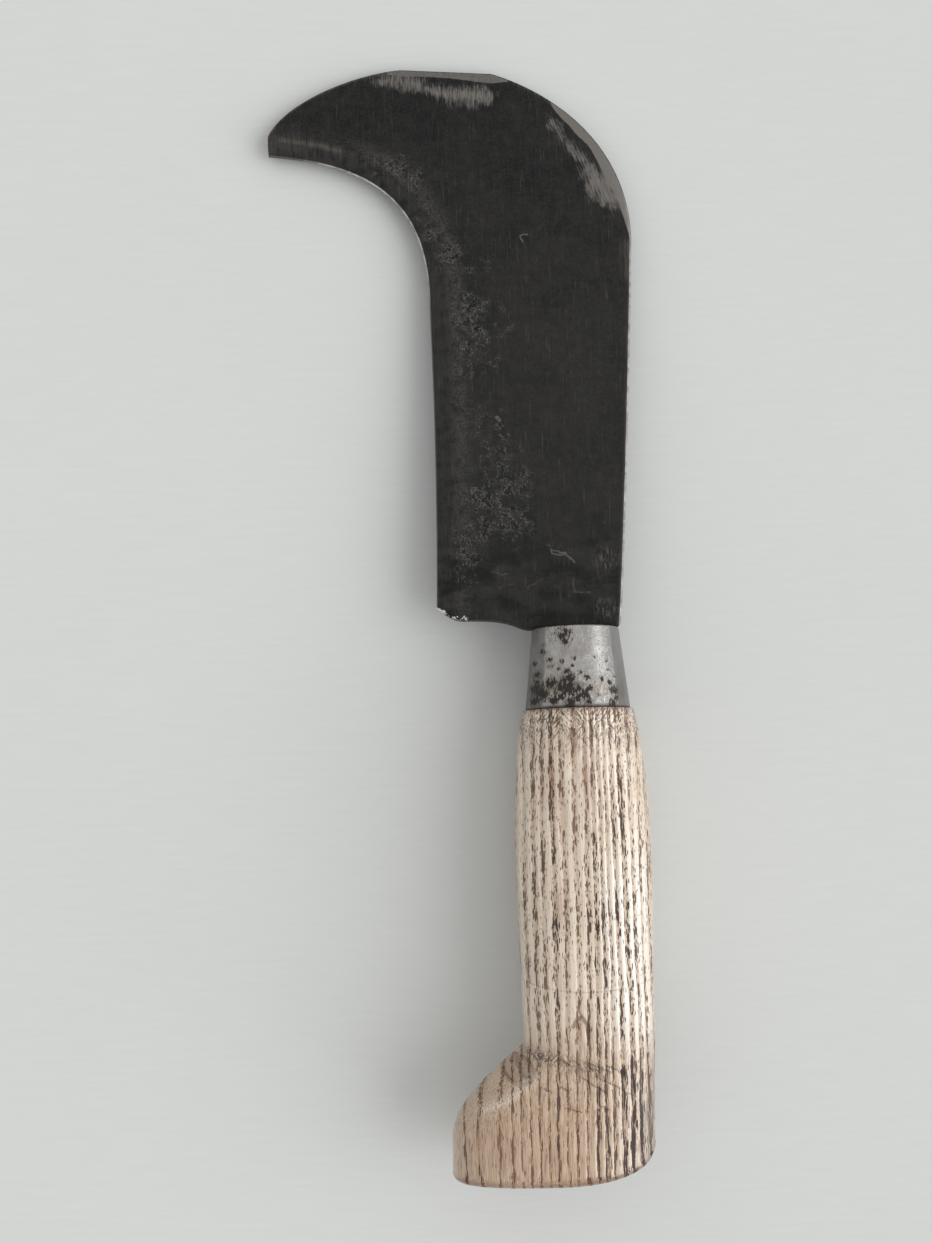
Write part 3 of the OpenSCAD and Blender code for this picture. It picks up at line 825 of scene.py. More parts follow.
def carved_ash(tones):
    """Ash: pale late wood, open early wood with dark pores, stains, knife cuts and handling dirt."""
    f = Finish(bpy.data.materials.new("carved_ash"))
    place = f.place()
    x, y, z = f.axes(place)
    upper = z.rise(-1, 1)
    on_hook = y.rise(*HOOK_SPAN)
    grain, nicks = ash_grain(f, place), ash_nicks(f, place)
    early, broad, fibre, strands = grain.early, grain.broad, grain.fibre, grain.strands
    grime = f.field("grime")

    bent = f.stirred(place, 4, 0.9, 7)
    cut = f.lines(bent, KNIFE_CUTS).rise(0.34, 0.1) * upper * fibre.rise(0.25, 0.5)
    nail = f.lines(f.stirred(place, 3, 0.25, 8), NAIL_DENT).rise(0.85, 0.2) * upper
    pencil = (y - PENCIL_Y - PENCIL_BEND * x * x).math("ABSOLUTE").rise(0.34, 0.12)
    pencil = pencil * fibre.rise(0.36, 0.52) * upper
    dregs = f.lines(bent, SCOOP_GRAIN).rise(1.5, 0.2) * (0.4 + 0.8 * fibre)

    # The grip is painted paler beside its back as a painted sheen, and the back's side itself is darker
    painted_sheen = x.rise(0, 9) * x.rise(21, 18) * y.rise(-58, -80) * y.rise(-132, -118)
    tone = f.coats(
        tones.late,
        (early * (0.15 + 0.5 * broad + 0.7 * (grain.crowd - 0.3)), tones.early),
        (fibre.rise(0.4, 0.7) * 0.5 + strands.rise(0.44, 0.72) * 0.34, tones.early),
        (painted_sheen * (1 - early) * 0.6, tones.rubbed_and_highlit),
        (x.rise(17, 20.5) * (1 - on_hook) * (0.12 + 0.44 * fibre), tones.early),
        (f.field("stain") * (0.4 + 0.6 * early) * 0.7, tones.stain),
        (on_hook * (0.2 + 0.3 * x.rise(16, -2)) * (0.7 + 0.6 * broad), tones.tan),
        # Handling dirt, and painted shade on the hook and beyond the crest
        (grime * (0.6 + 0.5 * broad), tones.grime),
        (on_hook * strands.rise(0.46, 0.62) * 0.52, tones.pore),
        # The hollow is painted darker: stained grain, and painted shade in the hollow
        (f.field("hollow") * (0.25 + 0.2 * fibre).most(dregs), tones.pore),
        # Painted highlight along the crest over the hook
        (f.field("crest") * fibre.rise(0.36, 0.6) * 0.8, tones.late),
        ((pencil * 0.35).most(nail * 0.7), tones.grime),
        (f.field("soot") * (0.3 + 1.2 * fibre.rise(0.35, 0.65)), tones.soot),
    )
    dirt = f.blend(grain.amount.rise(0.3, 0.9), tones.pore, tones.pore_dark)
    tone = f.coats(
        tone,
        (grain.pores * (0.72 + 0.28 * grain.amount), dirt),
        ((cut * 0.55).most(nicks * 0.8), tones.pore_dark),
    )
    openings = grain.pores.most(nicks)
    relief = openings * -0.25 - early * 0.08 + fibre * 0.08 + strands * 0.04
    relief = relief - cut * 0.2 - nail * 0.3 - pencil * 0.04
    gloss = 0.38 + 0.2 * (fibre - 0.5) + 0.22 * early + 0.1 * grime
    sheen = (1 - 0.6 * early) * (1 - openings)
    return f.surface(
        relief, Base_Color=tone, Roughness=gloss, Coat_Weight=sheen, Coat_Roughness=0.26, Coat_IOR=1.8
    )


def old_iron(tones):
    """Dark hammered iron with rust in its hollows."""
    f = Finish(bpy.data.materials.new("old_iron"))
    place = f.place()
    patches = f.cloud(place, (2.4, 2.4, 2.4), 1, 4.0)
    grains = f.cloud(place, (0.45, 0.45, 0.45), 2)
    rusty = patches.rise(0.42, 0.62) * grains.rise(0.3, 0.6)
    tone = f.blend(rusty, tones.iron, tones.rust)
    relief = patches * 0.14 + grains * 0.05
    return f.surface(relief, Base_Color=tone, Roughness=0.42 + 0.35 * rusty, Metallic=0.75 - 0.7 * rusty)


def painted_floor(tone):
    """Pale paint with faint brush marks. From below, the camera sees through it."""
    f = Finish(bpy.data.materials.new("painted_floor"))
    spot = f.node("TexCoord", output="Object")
    brushed = f.vector("MULTIPLY", spot, (60, 700, 60))
    strokes = f.node("TexNoise", {}, {"Vector": brushed, "Scale": 1.0, "Detail": 3.0})
    clouds = f.node("TexNoise", {}, {"Vector": spot, "Scale": 9.0, "Detail": 2.0})
    shades = [(*(min(1, c * k) for c in tone), 1) for k in (0.95, 1.05)]
    paint = f.blend(strokes * 0.6 + clouds * 0.4, *shades)
    bump = f.node("Bump", {}, {"Strength": 0.2, "Distance": 0.4 * MM, "Height": strokes})
    sockets = {"Base Color": paint, "Roughness": 0.8, "Specular IOR Level": 0.1, "Normal": bump}
    shader = f.node("BsdfPrincipled", {}, sockets)
    below = f.node("NewGeometry", output="Backfacing") * f.sight()
    seen = f.node("MixShader", {}, {0: below, 1: shader, 2: f.node("BsdfTransparent")})
    f.node("OutputMaterial", {}, {"Surface": seen})
    return f.owner


# Blade

# Rows from heel to nose, with extra ones close to both ends as shares of the way, and columns over the bevel,
# the face and the chamfer, and down the wall of the back
BLADE_ROWS, END_ROWS = 330, (0.0006, 0.0013, 0.9975, 0.999, 0.9996)
SIDE_COLUMNS, WALL_COLUMNS = (16, 80, 7), 4
# The share of the rows that lies along the straight edge, and the share of the back across from it
KNEE, KNEE_BACK = 0.45, 0.4
# The share of the rows over which the heel's line fades out
HEEL_FADE = 0.16
# Where the strips that close heel and nose lie in the bake coordinates, and how high they are
END_STRIPS, STRIP_HEIGHT = (0.0, 0.965), 0.017
# How far the tang reaches into the blade and into its riveted head, and the bevel of its edges
TANG_ROOT, TANG_END, TANG_BEVEL = 5, 0.4, 0.6


def blade_paths(b):
    """The cutting edge and the blunt back, each from heel to nose, and the heel from edge to back."""
    p = lambda *xy: np.array(xy, float)
    nose_y = b.height - b.nose_drop
    seat_back, seat_edge = p(b.back_offset - b.back_corner, 0), p(-b.seat, 0)
    back_foot, back_top = p(b.back_offset, b.back_corner), p(b.back_bulge, b.back_rise)
    crown_back = p(-b.crown_start, b.height - b.crown_fall)
    crown_front = p(-b.crown_start - b.crown_flat, b.height)
    nose_top, nose_tip = p(-b.nose_reach, nose_y + b.nose_blunt), p(-b.nose_reach, nose_y)
    edge_top = p(-b.edge_offset, b.edge_straight)
    edge_foot = p(-b.edge_offset, b.heel_lift + b.heel_wear_rise)
    heel_under = p(b.heel_wear_run - b.edge_offset, b.heel_lift)
    # A cubic bows out by three quarters of what its handles do
    hollow = p(b.edge_wear / 0.75, 0)
    handles = [mix(edge_foot, edge_top, share) + hollow for share in (1 / 3, 2 / 3)]
    straight = cubic(edge_foot, *handles, edge_top)
    edge = joined(straight, bow(nose_tip, edge_top, p(0.67, 0.07), p(0, 0.66))[::-1])
    back = joined(
        bow(back_foot, back_top, p(0.18, 0.08), p(0.15, 0.24)),
        bow(back_top, crown_back, p(0, 0.56), p(0.46, 0.12)),
        np.linspace(crown_back, crown_front, 30),
        bow(crown_front, nose_top, p(0.33, 0.03), p(0.13, 0.54)),
    )
    heel = joined(
        bow(edge_foot, heel_under, p(0.3, 0.5), p(0.4, 0)),
        bow(heel_under, seat_edge, p(0.85, 0), p(0.27, 0)),
        np.array([seat_edge, seat_back, back_foot]),
    )
    return edge, back, heel, travel(edge)[len(straight) - 1]


def blade_plan(b):
    """A net over the blade's flat from edge to back, with lines along the bevel's crest and the chamfer's."""
    edge, back, heel, knee = blade_paths(b)
    s = np.unique(np.concatenate([np.linspace(0, 1, BLADE_ROWS), END_ROWS]))
    left = along(edge, np.interp(s, (0, KNEE, 1), (0, knee, 1)))
    right = along(back, np.interp(s, (0, KNEE, 1), (0, KNEE_BACK, 1)))

    def net(t):
        spot = mix(left[:, None], right[:, None], t[..., None])
        line = mix(left[0], right[0], t[..., None])
        fall = np.interp(spot[..., 0], heel[:, 0], heel[:, 1]) - line[..., 1]
        spot[..., 1] += fall * (np.maximum(0, 1 - s / HEEL_FADE) ** 2)[:, None]
        return spot

    def crossing(path, width, shares):
        """The share of the way across at which each row lies the given width from a path."""
        gaps = gap_to(net(np.broadcast_to(shares, (len(s), len(shares)))), path)
        return np.array([np.interp(w, gap, shares) for w, gap in zip(width, gaps)])

    bevel = mix(b.bevel, b.nose_bevel, step_up(s, KNEE, 0.95)) * np.interp(s, (0.9, 1), (1, 0.55))
    # The wheel took more off the rim along the crown, from the back's curve to the start of the nose
    ground = step_up(right[:, 1], 126, 140) * step_up(right[:, 0], -58, -50)
    chamfer = mix(b.chamfer, b.ground_chamfer, ground) * np.interp(s, (0.93, 1), (1, 0.5))
    crest = crossing(edge, bevel, np.linspace(0, 0.75, 120))
    brow = np.maximum(crossing(back, chamfer, np.linspace(1, 0.6, 90)), crest + 0.05)
    stops = [np.zeros(len(s)), crest, brow, np.ones(len(s))]
    columns = [
        mix(a[:, None], c[:, None], np.linspace(0, 1, count + 1)[:-1])
        for a, c, count in zip(stops, stops[1:], SIDE_COLUMNS)
    ]
    flat = net(np.concatenate([*columns, stops[-1][:, None]], 1))
    return SimpleNamespace(
        flat=flat, edge_gap=gap_to(flat, edge), back_gap=gap_to(flat, back), heel_gap=gap_to(flat, heel),
        bevel=bevel[:, None], chamfer=chamfer[:, None],
    )


def blade_side(b, plan, upper):
    """Height over the blade's middle plane on one side, and what its finish needs to know there."""
    flat = plan.flat
    # The lower side has marks of the same kinds, shifted, fainter where it was ground and dented otherwise
    seed = 0 if upper else 50
    marks = flat if upper else flat * (1, 1.04) + (2.5, -4)
    faint = 0 if upper else 1.2
    half = mix(b.heel_thickness, b.crown_thickness, flat[..., 1] / b.height) / 2
    thin = b.edge_thickness / 2
    lift = np.clip(plan.edge_gap / plan.bevel, 0, 1)
    body = thin + (half - thin) * (lift + 0.1 * lift * (1 - lift))
    out = np.clip(1 - plan.back_gap / plan.chamfer, 0, 1)
    body -= 0.85 * out**1.25

    pits = discs(marks, PITTED)
    holes = step_up(rough(flat, 1.7, seed + 11, 2), 0.05, 0.55) * pits
    dents = 0.09 * (1 + rough(flat, 17, seed + 3, 2))
    dents += 0.05 * (1 + rough(flat, 5, seed + 5, 2)) * (0.4 + pits)
    chips = fade(gap_to(marks, HEEL_CHIPS), 1.1)
    body -= (dents + 0.24 * holes) * np.minimum(lift, 1 - 0.6 * out) + 0.3 * fade(plan.heel_gap, 0.5)
    body -= chips * 0.7 * (1 + rough(flat, 1.6, seed + 21, 2))

    rust = np.max([
        0.25 * fade(gap_to(flat, NOSE_RUST), 5),
        0.6 * fade(gap_to(marks, BACK_RUST), 1.6),
        0.8 * fade(gap_to(flat, BEVEL_RUST), 0.9),
    ], axis=0)
    fields = {
        "edge_gap": plan.edge_gap,
        "back_gap": plan.back_gap,
        "grind": np.maximum(depth_in(marks, TOP_GRIND), depth_in(marks, CROWN_GRIND)) - faint,
        "strip": np.maximum(depth_in(flat, TOP_STRIP), depth_in(flat, CROWN_STRIP)),
        "pits": pits,
        "worn": chips + discs(marks, HEEL_SPECKS),
        "rust": rust,
        "filed": discs(marks, FILED),
    }
    return np.maximum(body, 0.8 * thin), fields


def close_ends(faces, uv, rows, columns, width):
    """Closes heel and nose with strips of faces between the upper and the lower side, and one at the wall."""
    for row, height, turn in zip((0, rows - 1), END_STRIPS, (1, -1)):
        first = row * columns
        top = height + STRIP_HEIGHT
        for j in range(width - 1):
            a, c, u, v = first + j, first + columns - 1 - j, j / width, (j + 1) / width
            corners = ((a, u, height), (c, u, top), (c - 1, v, top), (a + 1, v, height))[::turn]
            faces.append(tuple(corner for corner, _, _ in corners))
            uv += [spot for _, *spot in corners]
        wall = [first + k for k in range(width - 1, width + WALL_COLUMNS + 1)]
        faces.append(tuple(wall[::-turn]))
        uv += [(0.99 + 0.001 * math.cos(k), height + 0.008 + 0.001 * math.sin(k)) for k in range(len(wall))]


def blade_mesh(b):
    """The forging as one closed skin: each ring runs over the upper side, down the wall and back below."""
    plan = blade_plan(b)
    (top, top_fields), (low, low_fields) = (blade_side(b, plan, upper) for upper in (True, False))
    walls = np.linspace(0, 1, WALL_COLUMNS + 2)[1:-1]
    width = plan.flat.shape[1]

    def around(upper, lower):
        """Values over the upper side, down the wall and back over the lower side."""
        return np.concatenate([upper, mix(upper[:, -1:], lower[:, -1:], walls), lower[:, ::-1]], 1)

    wall = np.repeat(plan.flat[:, -1:], WALL_COLUMNS, 1)
    rings = np.dstack([np.concatenate([plan.flat, wall, plan.flat[:, ::-1]], 1), around(top, -low)])
    fields = {key: around(top_fields[key], low_fields[key]) for key in top_fields}
    # On the wall, the way from the nearer arris counts as negative
    thickness = top[:, -1:] + low[:, -1:]
    fields["back_gap"][:, width : width + WALL_COLUMNS] = -np.minimum(walls, 1 - walls) * thickness
    faces, uv = tube(rings, ends=False)
    close_ends(faces, uv, *rings.shape[:2], width)
    return rings, faces, uv, fields


def tang_mesh(g, seat):
    """The tapered tang with its edges taken off, from inside the blade to the washer."""
    rings = []
    for y in np.linspace(TANG_ROOT, seat - TANG_END, 24):
        half, deep = mix(g.root_width, g.end_width, y / seat) / 2, g.thickness / 2
        brow, side = half - TANG_BEVEL, deep - TANG_BEVEL
        corner = [(half, side), (brow, deep), (-brow, deep), (-half, side)]
        rings.append([(x, y, z) for x, z in corner + [(-x, -z) for x, z in corner]])
    return np.array(rings)


def rivet_mesh(g, seat):
    """The hammered head of the tang, a low dome on the washer."""
    radius, sunk, bore = g.head / 2, 0.3, 0.6
    profile = [(bore, seat + sunk), (radius - 0.8, seat + sunk), (radius - 0.25, seat + 0.02)]
    foot = len(profile)
    dome = [(math.cos(a), math.sin(a)) for a in np.linspace(0, 1, 12) * 1.5]
    profile += [(radius * c, seat - 0.05 - (g.head_height - 0.06) * s) for c, s in dome]
    rings = turned(profile, 72)
    facets = rough(rings[..., [0, 2]], 2.6, 31, 2)
    rings[foot:, :, 1] += 0.16 * (1 + facets[foot:])
    return rings


class BILLHOOK_OT_blade(bpy.types.Operator):
    """Forge the hooked blade with its tang and riveted head"""

    bl_idname = "billhook.blade"
    bl_label = "Blade and tang"
    bl_options = {"REGISTER", "UNDO"}

    def execute(self, context):
        settings, size = context.scene.billhook, tool_sizes(context)
        seat = recess_floor(size) - size.washer.thickness
        rings, faces, uv, fields = blade_mesh(size.blade)
        scale = forge_scale(paints(settings.blade_colours))
        add_piece("blade_forging", "blade", "blade_steel", rings, faces, uv, scale, fields, 38)
        iron = old_iron(paints(settings.washer_colours))
        bar, rivet = tang_mesh(size.tang, seat), rivet_mesh(size.tang, seat)
        add_piece("tang_bar", "blade", "blade_steel", bar, *tube(bar), iron)
        add_piece("tang_rivet", "blade", "blade_steel", rivet, *tube(rivet), iron)
        return {"FINISHED"}


# Ferrule

# Radius of both rims, and rows down the outside and up the inside
LIP, OUTER_ROWS, INNER_ROWS = 0.45, 84, 10


def ferrule_mesh(f):
    """The tapered collar: outside, rims and inside in one skin, dented a little, and where it has flaked."""
    mouth, base = f.mouth / 2, f.base / 2
    slope = (base - mouth) / f.length
    curl = [(math.sin(a), math.cos(a)) for a in np.linspace(0, math.pi / 2, 6)]
    outside = [(mouth + slope * LIP - LIP * (1 - s), -LIP * (1 - c)) for s, c in curl]
    outside += [(mouth + slope * y, -y) for y in np.linspace(0.6, f.length - 0.6, OUTER_ROWS)]
    outside += [(base - slope * LIP - LIP * (1 - c), LIP * (1 - s) - f.length) for s, c in curl]
    inside = [(mouth + slope * y - f.wall, -y) for y in np.linspace(f.length, 0, INNER_ROWS)]
    rings = turned(outside + inside, 216)
    skin = rings[: len(outside)]
    dent = 0.07 * (1 + rough(skin, 9, 71, 2)) + 0.02 * (1 + rough(skin, 2.2, 75, 2))
    skin[..., [0, 2]] *= (1 - dent / np.hypot(skin[..., 0], skin[..., 2]))[..., None]

    # The under side has the same flakes the other way round
    x, y, z = np.moveaxis(rings, -1, 0)
    flat = np.where((z > 0)[..., None], rings[..., :2], rings[..., :2] * (-1, 1) + (1.5, 1.2))
    flakes = discs(flat, [(*spot, 1.45 * radius) for *spot, radius in FLAKES])
    return rings, 1.1 * flakes + 0.3 * step_up(-y, 8, 18) * step_up(-x, -13, -5) - 0.34


class BILLHOOK_OT_ferrule(bpy.types.Operator):
    """Turn the tapered ferrule"""

    bl_idname = "billhook.ferrule"
    bl_label = "Ferrule"
    bl_options = {"REGISTER", "UNDO"}

    def execute(self, context):
        rings, lost = ferrule_mesh(tool_sizes(context).ferrule)
        faces, uv = tube(rings, closed=True)
        plating = worn_plating(paints(context.scene.billhook.ferrule_colours))
        add_piece("ferrule_collar", "ferrule", "ferrule_steel", rings, faces, uv, plating, {"flake": lost})
        return {"FINISHED"}


# Handle

# Columns round the handle, and rows down its grip and hook
HANDLE_COLUMNS, HANDLE_ROWS = 272, 290
# The tenon's play in the ferrule
TENON_PLAY = 0.05


def handle_section(h, drop, angle, inset=0.0):
    """X and Z of the handle's skin at a distance below its shoulder, at an angle from its back."""

    def half(shoulder, swell, waist):
        up = np.clip((drop - h.shoulder_round) / (h.swell_drop - h.shoulder_round), 0, 1) ** 0.8
        down = np.clip((drop - h.swell_drop) / (h.length - h.hook_height - h.swell_drop), 0, 1)
        upper = mix(shoulder, swell, np.sin(math.pi / 2 * up))
        return np.where(drop < h.swell_drop, upper, mix(swell, waist, (1 - np.cos(math.pi * down)) / 2)) / 2

    width = half(h.shoulder, h.swell_width, h.waist_width)
    depth = half(h.shoulder, h.swell_thickness, h.waist_thickness) - inset
    below = drop - (h.length - h.hook_height)
    edge = mix(width, h.hook_reach, np.sin(math.pi / 2 * np.clip(below / h.hook_slope, 0, 1))) - inset
    back = mix(width, h.butt_back, np.clip(below / h.hook_height, 0, 1)) - inset
    # The section is round at the shoulder and a little squarer below
    power = 2 / mix(2, 2.5, np.clip(drop / h.swell_drop, 0, 1))
    c, s = (np.sign(v) * np.abs(v) ** power for v in (np.cos(angle), np.sin(angle)))
    return (back - edge) / 2 + (back + edge) / 2 * c, depth * s


def handle_rings(h, f):
    """Rings from the tenon down grip and hook into the recess, and where the grip starts and stops."""
    top = -f.length
    butt = top - h.length
    angles = np.arange(HANDLE_COLUMNS) * math.tau / HANDLE_COLUMNS
    inside = lambda y: mix(f.mouth, f.base, -y / f.length) / 2 - f.wall - TENON_PLAY

    def face(x):
        """The butt's face, which sweeps up towards the back."""
        out = np.clip((x - h.butt_back + h.sweep_run) / h.sweep_run, 0, 1)
        return butt + h.sweep_rise * (1 - np.sqrt(1 - out**2))

    def add(x, y, z):
        rings.append(np.stack([x, np.broadcast_to(y, x.shape), z], -1))

    tenon, rim = -h.tenon_gap, h.shoulder / 2 - h.shoulder_round
    rings = [circle(inside(tenon) * share, tenon, angles) for share in (0.2, 0.6, 0.94)]
    rings += [circle(inside(y), y, angles) for y in (tenon - 0.7, top / 2, top)]
    rings += [circle(mix(inside(top), rim, share), top, angles) for share in (0.4, 0.75, 0.95)]
    for turn in np.linspace(0, math.pi / 2, 6)[:-1]:
        drop = h.shoulder_round * (1 - math.cos(turn))
        x, z = handle_section(h, drop, angles, h.shoulder_round * (1 - math.sin(turn)))
        add(x, top - drop, z)
    start = len(rings)
    # The butt's rim follows its swept face, which itself depends on the section there
    end = np.full(HANDLE_COLUMNS, h.length)
    for _ in range(3):
        x, _ = handle_section(h, end - h.butt_round, angles)
        end = h.length - (face(x) - butt)
    for share in np.linspace(0, 1, HANDLE_ROWS):
        drop = mix(h.shoulder_round, h.length - h.butt_round, share) - (h.length - end) * share**2
        x, z = handle_section(h, drop, angles)
        add(x, top - drop, z)
    stop = len(rings)
    for turn in np.linspace(0, math.pi / 2, 9)[1:]:
        drop, inset = end - h.butt_round * (1 - math.sin(turn)), h.butt_round * (1 - math.cos(turn))
        x, z = handle_section(h, drop, angles, inset)
        add(x, mix(top - end + h.butt_round, face(x), math.sin(turn)), z)
    rim_x, rim_z = rings[-1][:, 0], rings[-1][:, 2]
    bearing = np.arctan2(rim_z, rim_x)
    c, s = np.cos(bearing), np.sin(bearing)
    hole, floor = h.recess / 2, butt + h.recess_depth
    lip = hole + 0.3
    for share in np.linspace(0, 1, 22)[1:]:
        x = mix(rim_x, lip * c, share)
        add(x, face(x), mix(rim_z, lip * s, share))
    for reach, share in ((hole + 0.05, 0.06), (hole, 0.12), (hole, 0.4), (hole, 0.7), (hole, 1)):
        add(reach * c, mix(face(reach * c), floor, share), reach * s)
    for share in (0.8, 0.5, 0.2):
        add(hole * share * c, floor, hole * share * s)
    return np.stack(rings), start, stop


def growth_rings(h, spots):
    """The number of the growth ring at each point; the rings are wider towards the hook."""
    ring = np.interp(spots[..., 0], (-45, -20, 0, 22), (0, 17, 37, 64)) / h.ring
    ring += 0.0012 * (spots[..., 2] + 4) ** 2 + 0.35 * rough(spots, (12, 90, 40), 91, 2)
    ring += 0.7 * rough(spots, (9, 200, 80), 95, 2) + 0.2 * rough(spots, (3, 14, 6), 97, 2) + 40.3
    return ring


def carve_grip(rings, spots, ring, side):
    """Sinks early wood, knife work, cuts and the nail's dent into the skin, towards the handle's middle."""
    x, y, z = np.moveaxis(spots, -1, 0)
    share = ring - np.floor(ring)
    early = step_up(share, 0, 0.1) * (1 - step_up(share, 0.26, 0.6)) * step_up(x, -34, -16)
    knife = 0.16 * (1 + rough(spots, (7, 13, 7), 101, 2)) * step_up(-y, 26, 50)
    cuts = fade(np.min([gap_to(spots[..., :2], pair) for pair in KNIFE_CUTS], axis=0), 0.5)
    nail = fade(gap_to(spots[..., :2], NAIL_DENT[0] + NAIL_DENT[-1]), 1.6)
    fibres = 0.05 * (1 + rough(spots, (0.8, 5, 0.8), 107, 2))
    depth = side * (0.24 * early + knife + fibres + (0.2 * cuts + 0.25 * nail) * (z > 0))
    middle = (x.max(1) + x.min(1))[:, None] / 2
    shrink = 1 - depth / np.maximum(np.hypot(x - middle, z), 1)
    rings[..., 0] = middle + (x - middle) * shrink
    rings[..., 2] *= shrink


def carve_hook(rings, spots, side):
    """Lowers the skin over the hook, and tells where it falls to the throat, the crest and the hollow."""
    flat, upper = spots[..., :2], spots[..., 2] > 0
    x, y = np.moveaxis(flat, -1, 0)
    # A crest runs over the hook on both sides: beyond it the knife fell away towards the throat
    gap = gap_to(flat, CREST)
    beyond = gap * np.where(y > np.interp(x, *zip(*CREST)), 1, -1)
    hooked = step_up(-13 - x, 0, 6) * step_up(-y, 123, 129) * side
    # Painted highlight along the crest
    crest_highlight = fade(gap, 1.5) * hooked * step_up(x, -37, -31)
    # The knife scooped an oval hollow beside the throat
    dx, dy = x - SCOOP[0], y - SCOOP[1]
    (c, s), (long, wide) = SCOOP_TURN, SCOOP_HALF
    inside = 1 - ((dx * c - dy * s) / long) ** 2 - ((dx * s + dy * c) / wide) ** 2
    bowl = step_up(inside, 0, 0.3) * upper * side
    # The hook's upper side starts with a low ledge under the stop cut
    under = np.interp(x, *zip(*STOP_CUT)) + 0.5 * rough(flat, 1.6, 117, 2) - y
    ledge = step_up(under, 0, 0.6) * (1 - step_up(under, 1.5, 9)) * upper * side
    ledge *= step_up(x, -21, -18) * (1 - step_up(x, -4, 3))
    fall = 0.4 * np.clip(beyond, 0, 5) * hooked + 2.2 * bowl + 0.5 * ledge
    height = rings[..., 2].copy()
    rings[..., 2] -= np.sign(height) * np.minimum(fall, 0.6 * np.abs(height))
    return np.clip(beyond / 2, 0, 1) * hooked, crest_highlight, bowl


def carve(h, rings, start, stop):
    """Carves the skin, inwards only, and returns what the finish needs to know."""
    spots = rings.copy()
    flat, upper = spots[..., :2], spots[..., 2] > 0
    x, low = spots[..., 0], -spots[..., 1]
    row = np.arange(len(rings))[:, None] + np.zeros(rings.shape[:2])
    side = np.where((row >= start) & (row < stop), 1.0, 0.0)
    side[start - 4 : start + 3] = np.linspace(0.4, 0.9, 7)[:, None]
    ring = growth_rings(h, spots)
    carve_grip(rings, spots, ring, side)
    fallen, crest_highlight, bowl = carve_hook(rings, spots, side)

    # Dirt towards the butt, on its face and on the shoulder, and painted shade on the hook and beyond the
    # crest
    grime = np.max([
        0.17 * step_up(low, 104, 150) + 0.06 * step_up(low, 124, 136) * step_up(-x, 6, 16),
        0.18 * fallen,
        1.1 * step_up(row, stop - 3, stop + 3),
        0.7 * (1 - step_up(row, start - 2, start + 3)),
    ], axis=0)
    grime[stop + 9 :] = 0.45
    # The back of the butt is greyer, in streaks
    soot = 0.75 * step_up(low, 118, 150) * step_up(x, 11, 18)
    speckle = 1 + 0.5 * rough(spots, (4, 9, 4), 113, 2)
    stains = [np.exp(-(((flat - spot[:2]) / spot[2:]) ** 2).sum(-1)) for spot in np.array(STAINS)]
    return {
        "ring": ring,
        "stain": np.max(stains, axis=0) * upper,
        "grime": np.clip(grime * speckle, 0, 1),
        "soot": np.clip(soot * speckle, 0, 1),
        "crest": crest_highlight,
        "hollow": bowl,
        "chopped": fade(gap_to(flat, STOP_CUT), 2.0) * upper,
    }


class BILLHOOK_OT_handle(bpy.types.Operator):
    """Carve the ash handle with its hooked butt"""

    bl_idname = "billhook.handle"
    bl_label = "Handle"
    bl_options = {"REGISTER", "UNDO"}

    def execute(self, context):
        size = tool_sizes(context)
        rings, start, stop = handle_rings(size.handle, size.ferrule)
        fields = carve(size.handle, rings, start, stop)
        ash = carved_ash(paints(context.scene.billhook.handle_colours))
        add_piece("ash_handle", "handle", "ash", rings, *tube(rings), ash, fields)
        return {"FINISHED"}


# Washer


def washer_mesh(w, high):
    """The washer from its upper face at the given Y: its rim is rounded, and its lower face is hammered."""
    low, rim, bore = high - w.thickness, w.diameter / 2, w.bore / 2
    profile = [(bore, high), (rim - 0.3, high), (rim, high - 0.3), (rim, low + 0.4), (rim - 0.12, low + 0.14)]
    hammered = slice(len(profile), len(profile) + 3)
    profile += [(rim - 0.4, low), (rim * 0.8, low), (rim * 0.62, low), (bore, low)]
    rings = turned(profile, 96)
    rings[hammered, :, 1] += 0.07 * (1 + rough(rings[hammered], 3, 131, 2))
    return rings


class BILLHOOK_OT_washer(bpy.types.Operator):
    """Let the iron washer into the butt"""

    bl_idname = "billhook.washer"
    bl_label = "Tang washer"
    bl_options = {"REGISTER", "UNDO"}

    def execute(self, context):
        size = tool_sizes(context)
        rings = washer_mesh(size.washer, recess_floor(size))
        iron = old_iron(paints(context.scene.billhook.washer_colours))
        add_piece("butt_washer", "tang_washer", "washer_iron", rings, *tube(rings, closed=True), iron)
        return {"FINISHED"}


# Stage

# Half the floor's side and its gap under the tool, in metres
FLOOR_HALF, FLOOR_GAP = 3.0, 0.0002
# Where the lamp stands and what it is turned to, in metres
LAMP_PLACE, LAMP_AIM = Vector((0.93, -0.25, 0.64)), Vector((0, 0.02, 0))
# Where the camera stands, in millimetres from the ferrule's mouth, and how it is turned
CAMERA_PLACE = Vector((-35.0, -45.65, 462.67))
CAMERA_ROLL, CAMERA_PITCH = math.radians(1.5), math.radians(6.03)
# The sensor's width in millimetres, which spans the height of an upright picture, and that height and the
# focal length in pixels
SENSOR, PICTURE_HEIGHT, FOCAL_LENGTH = 36, 1243, 1500


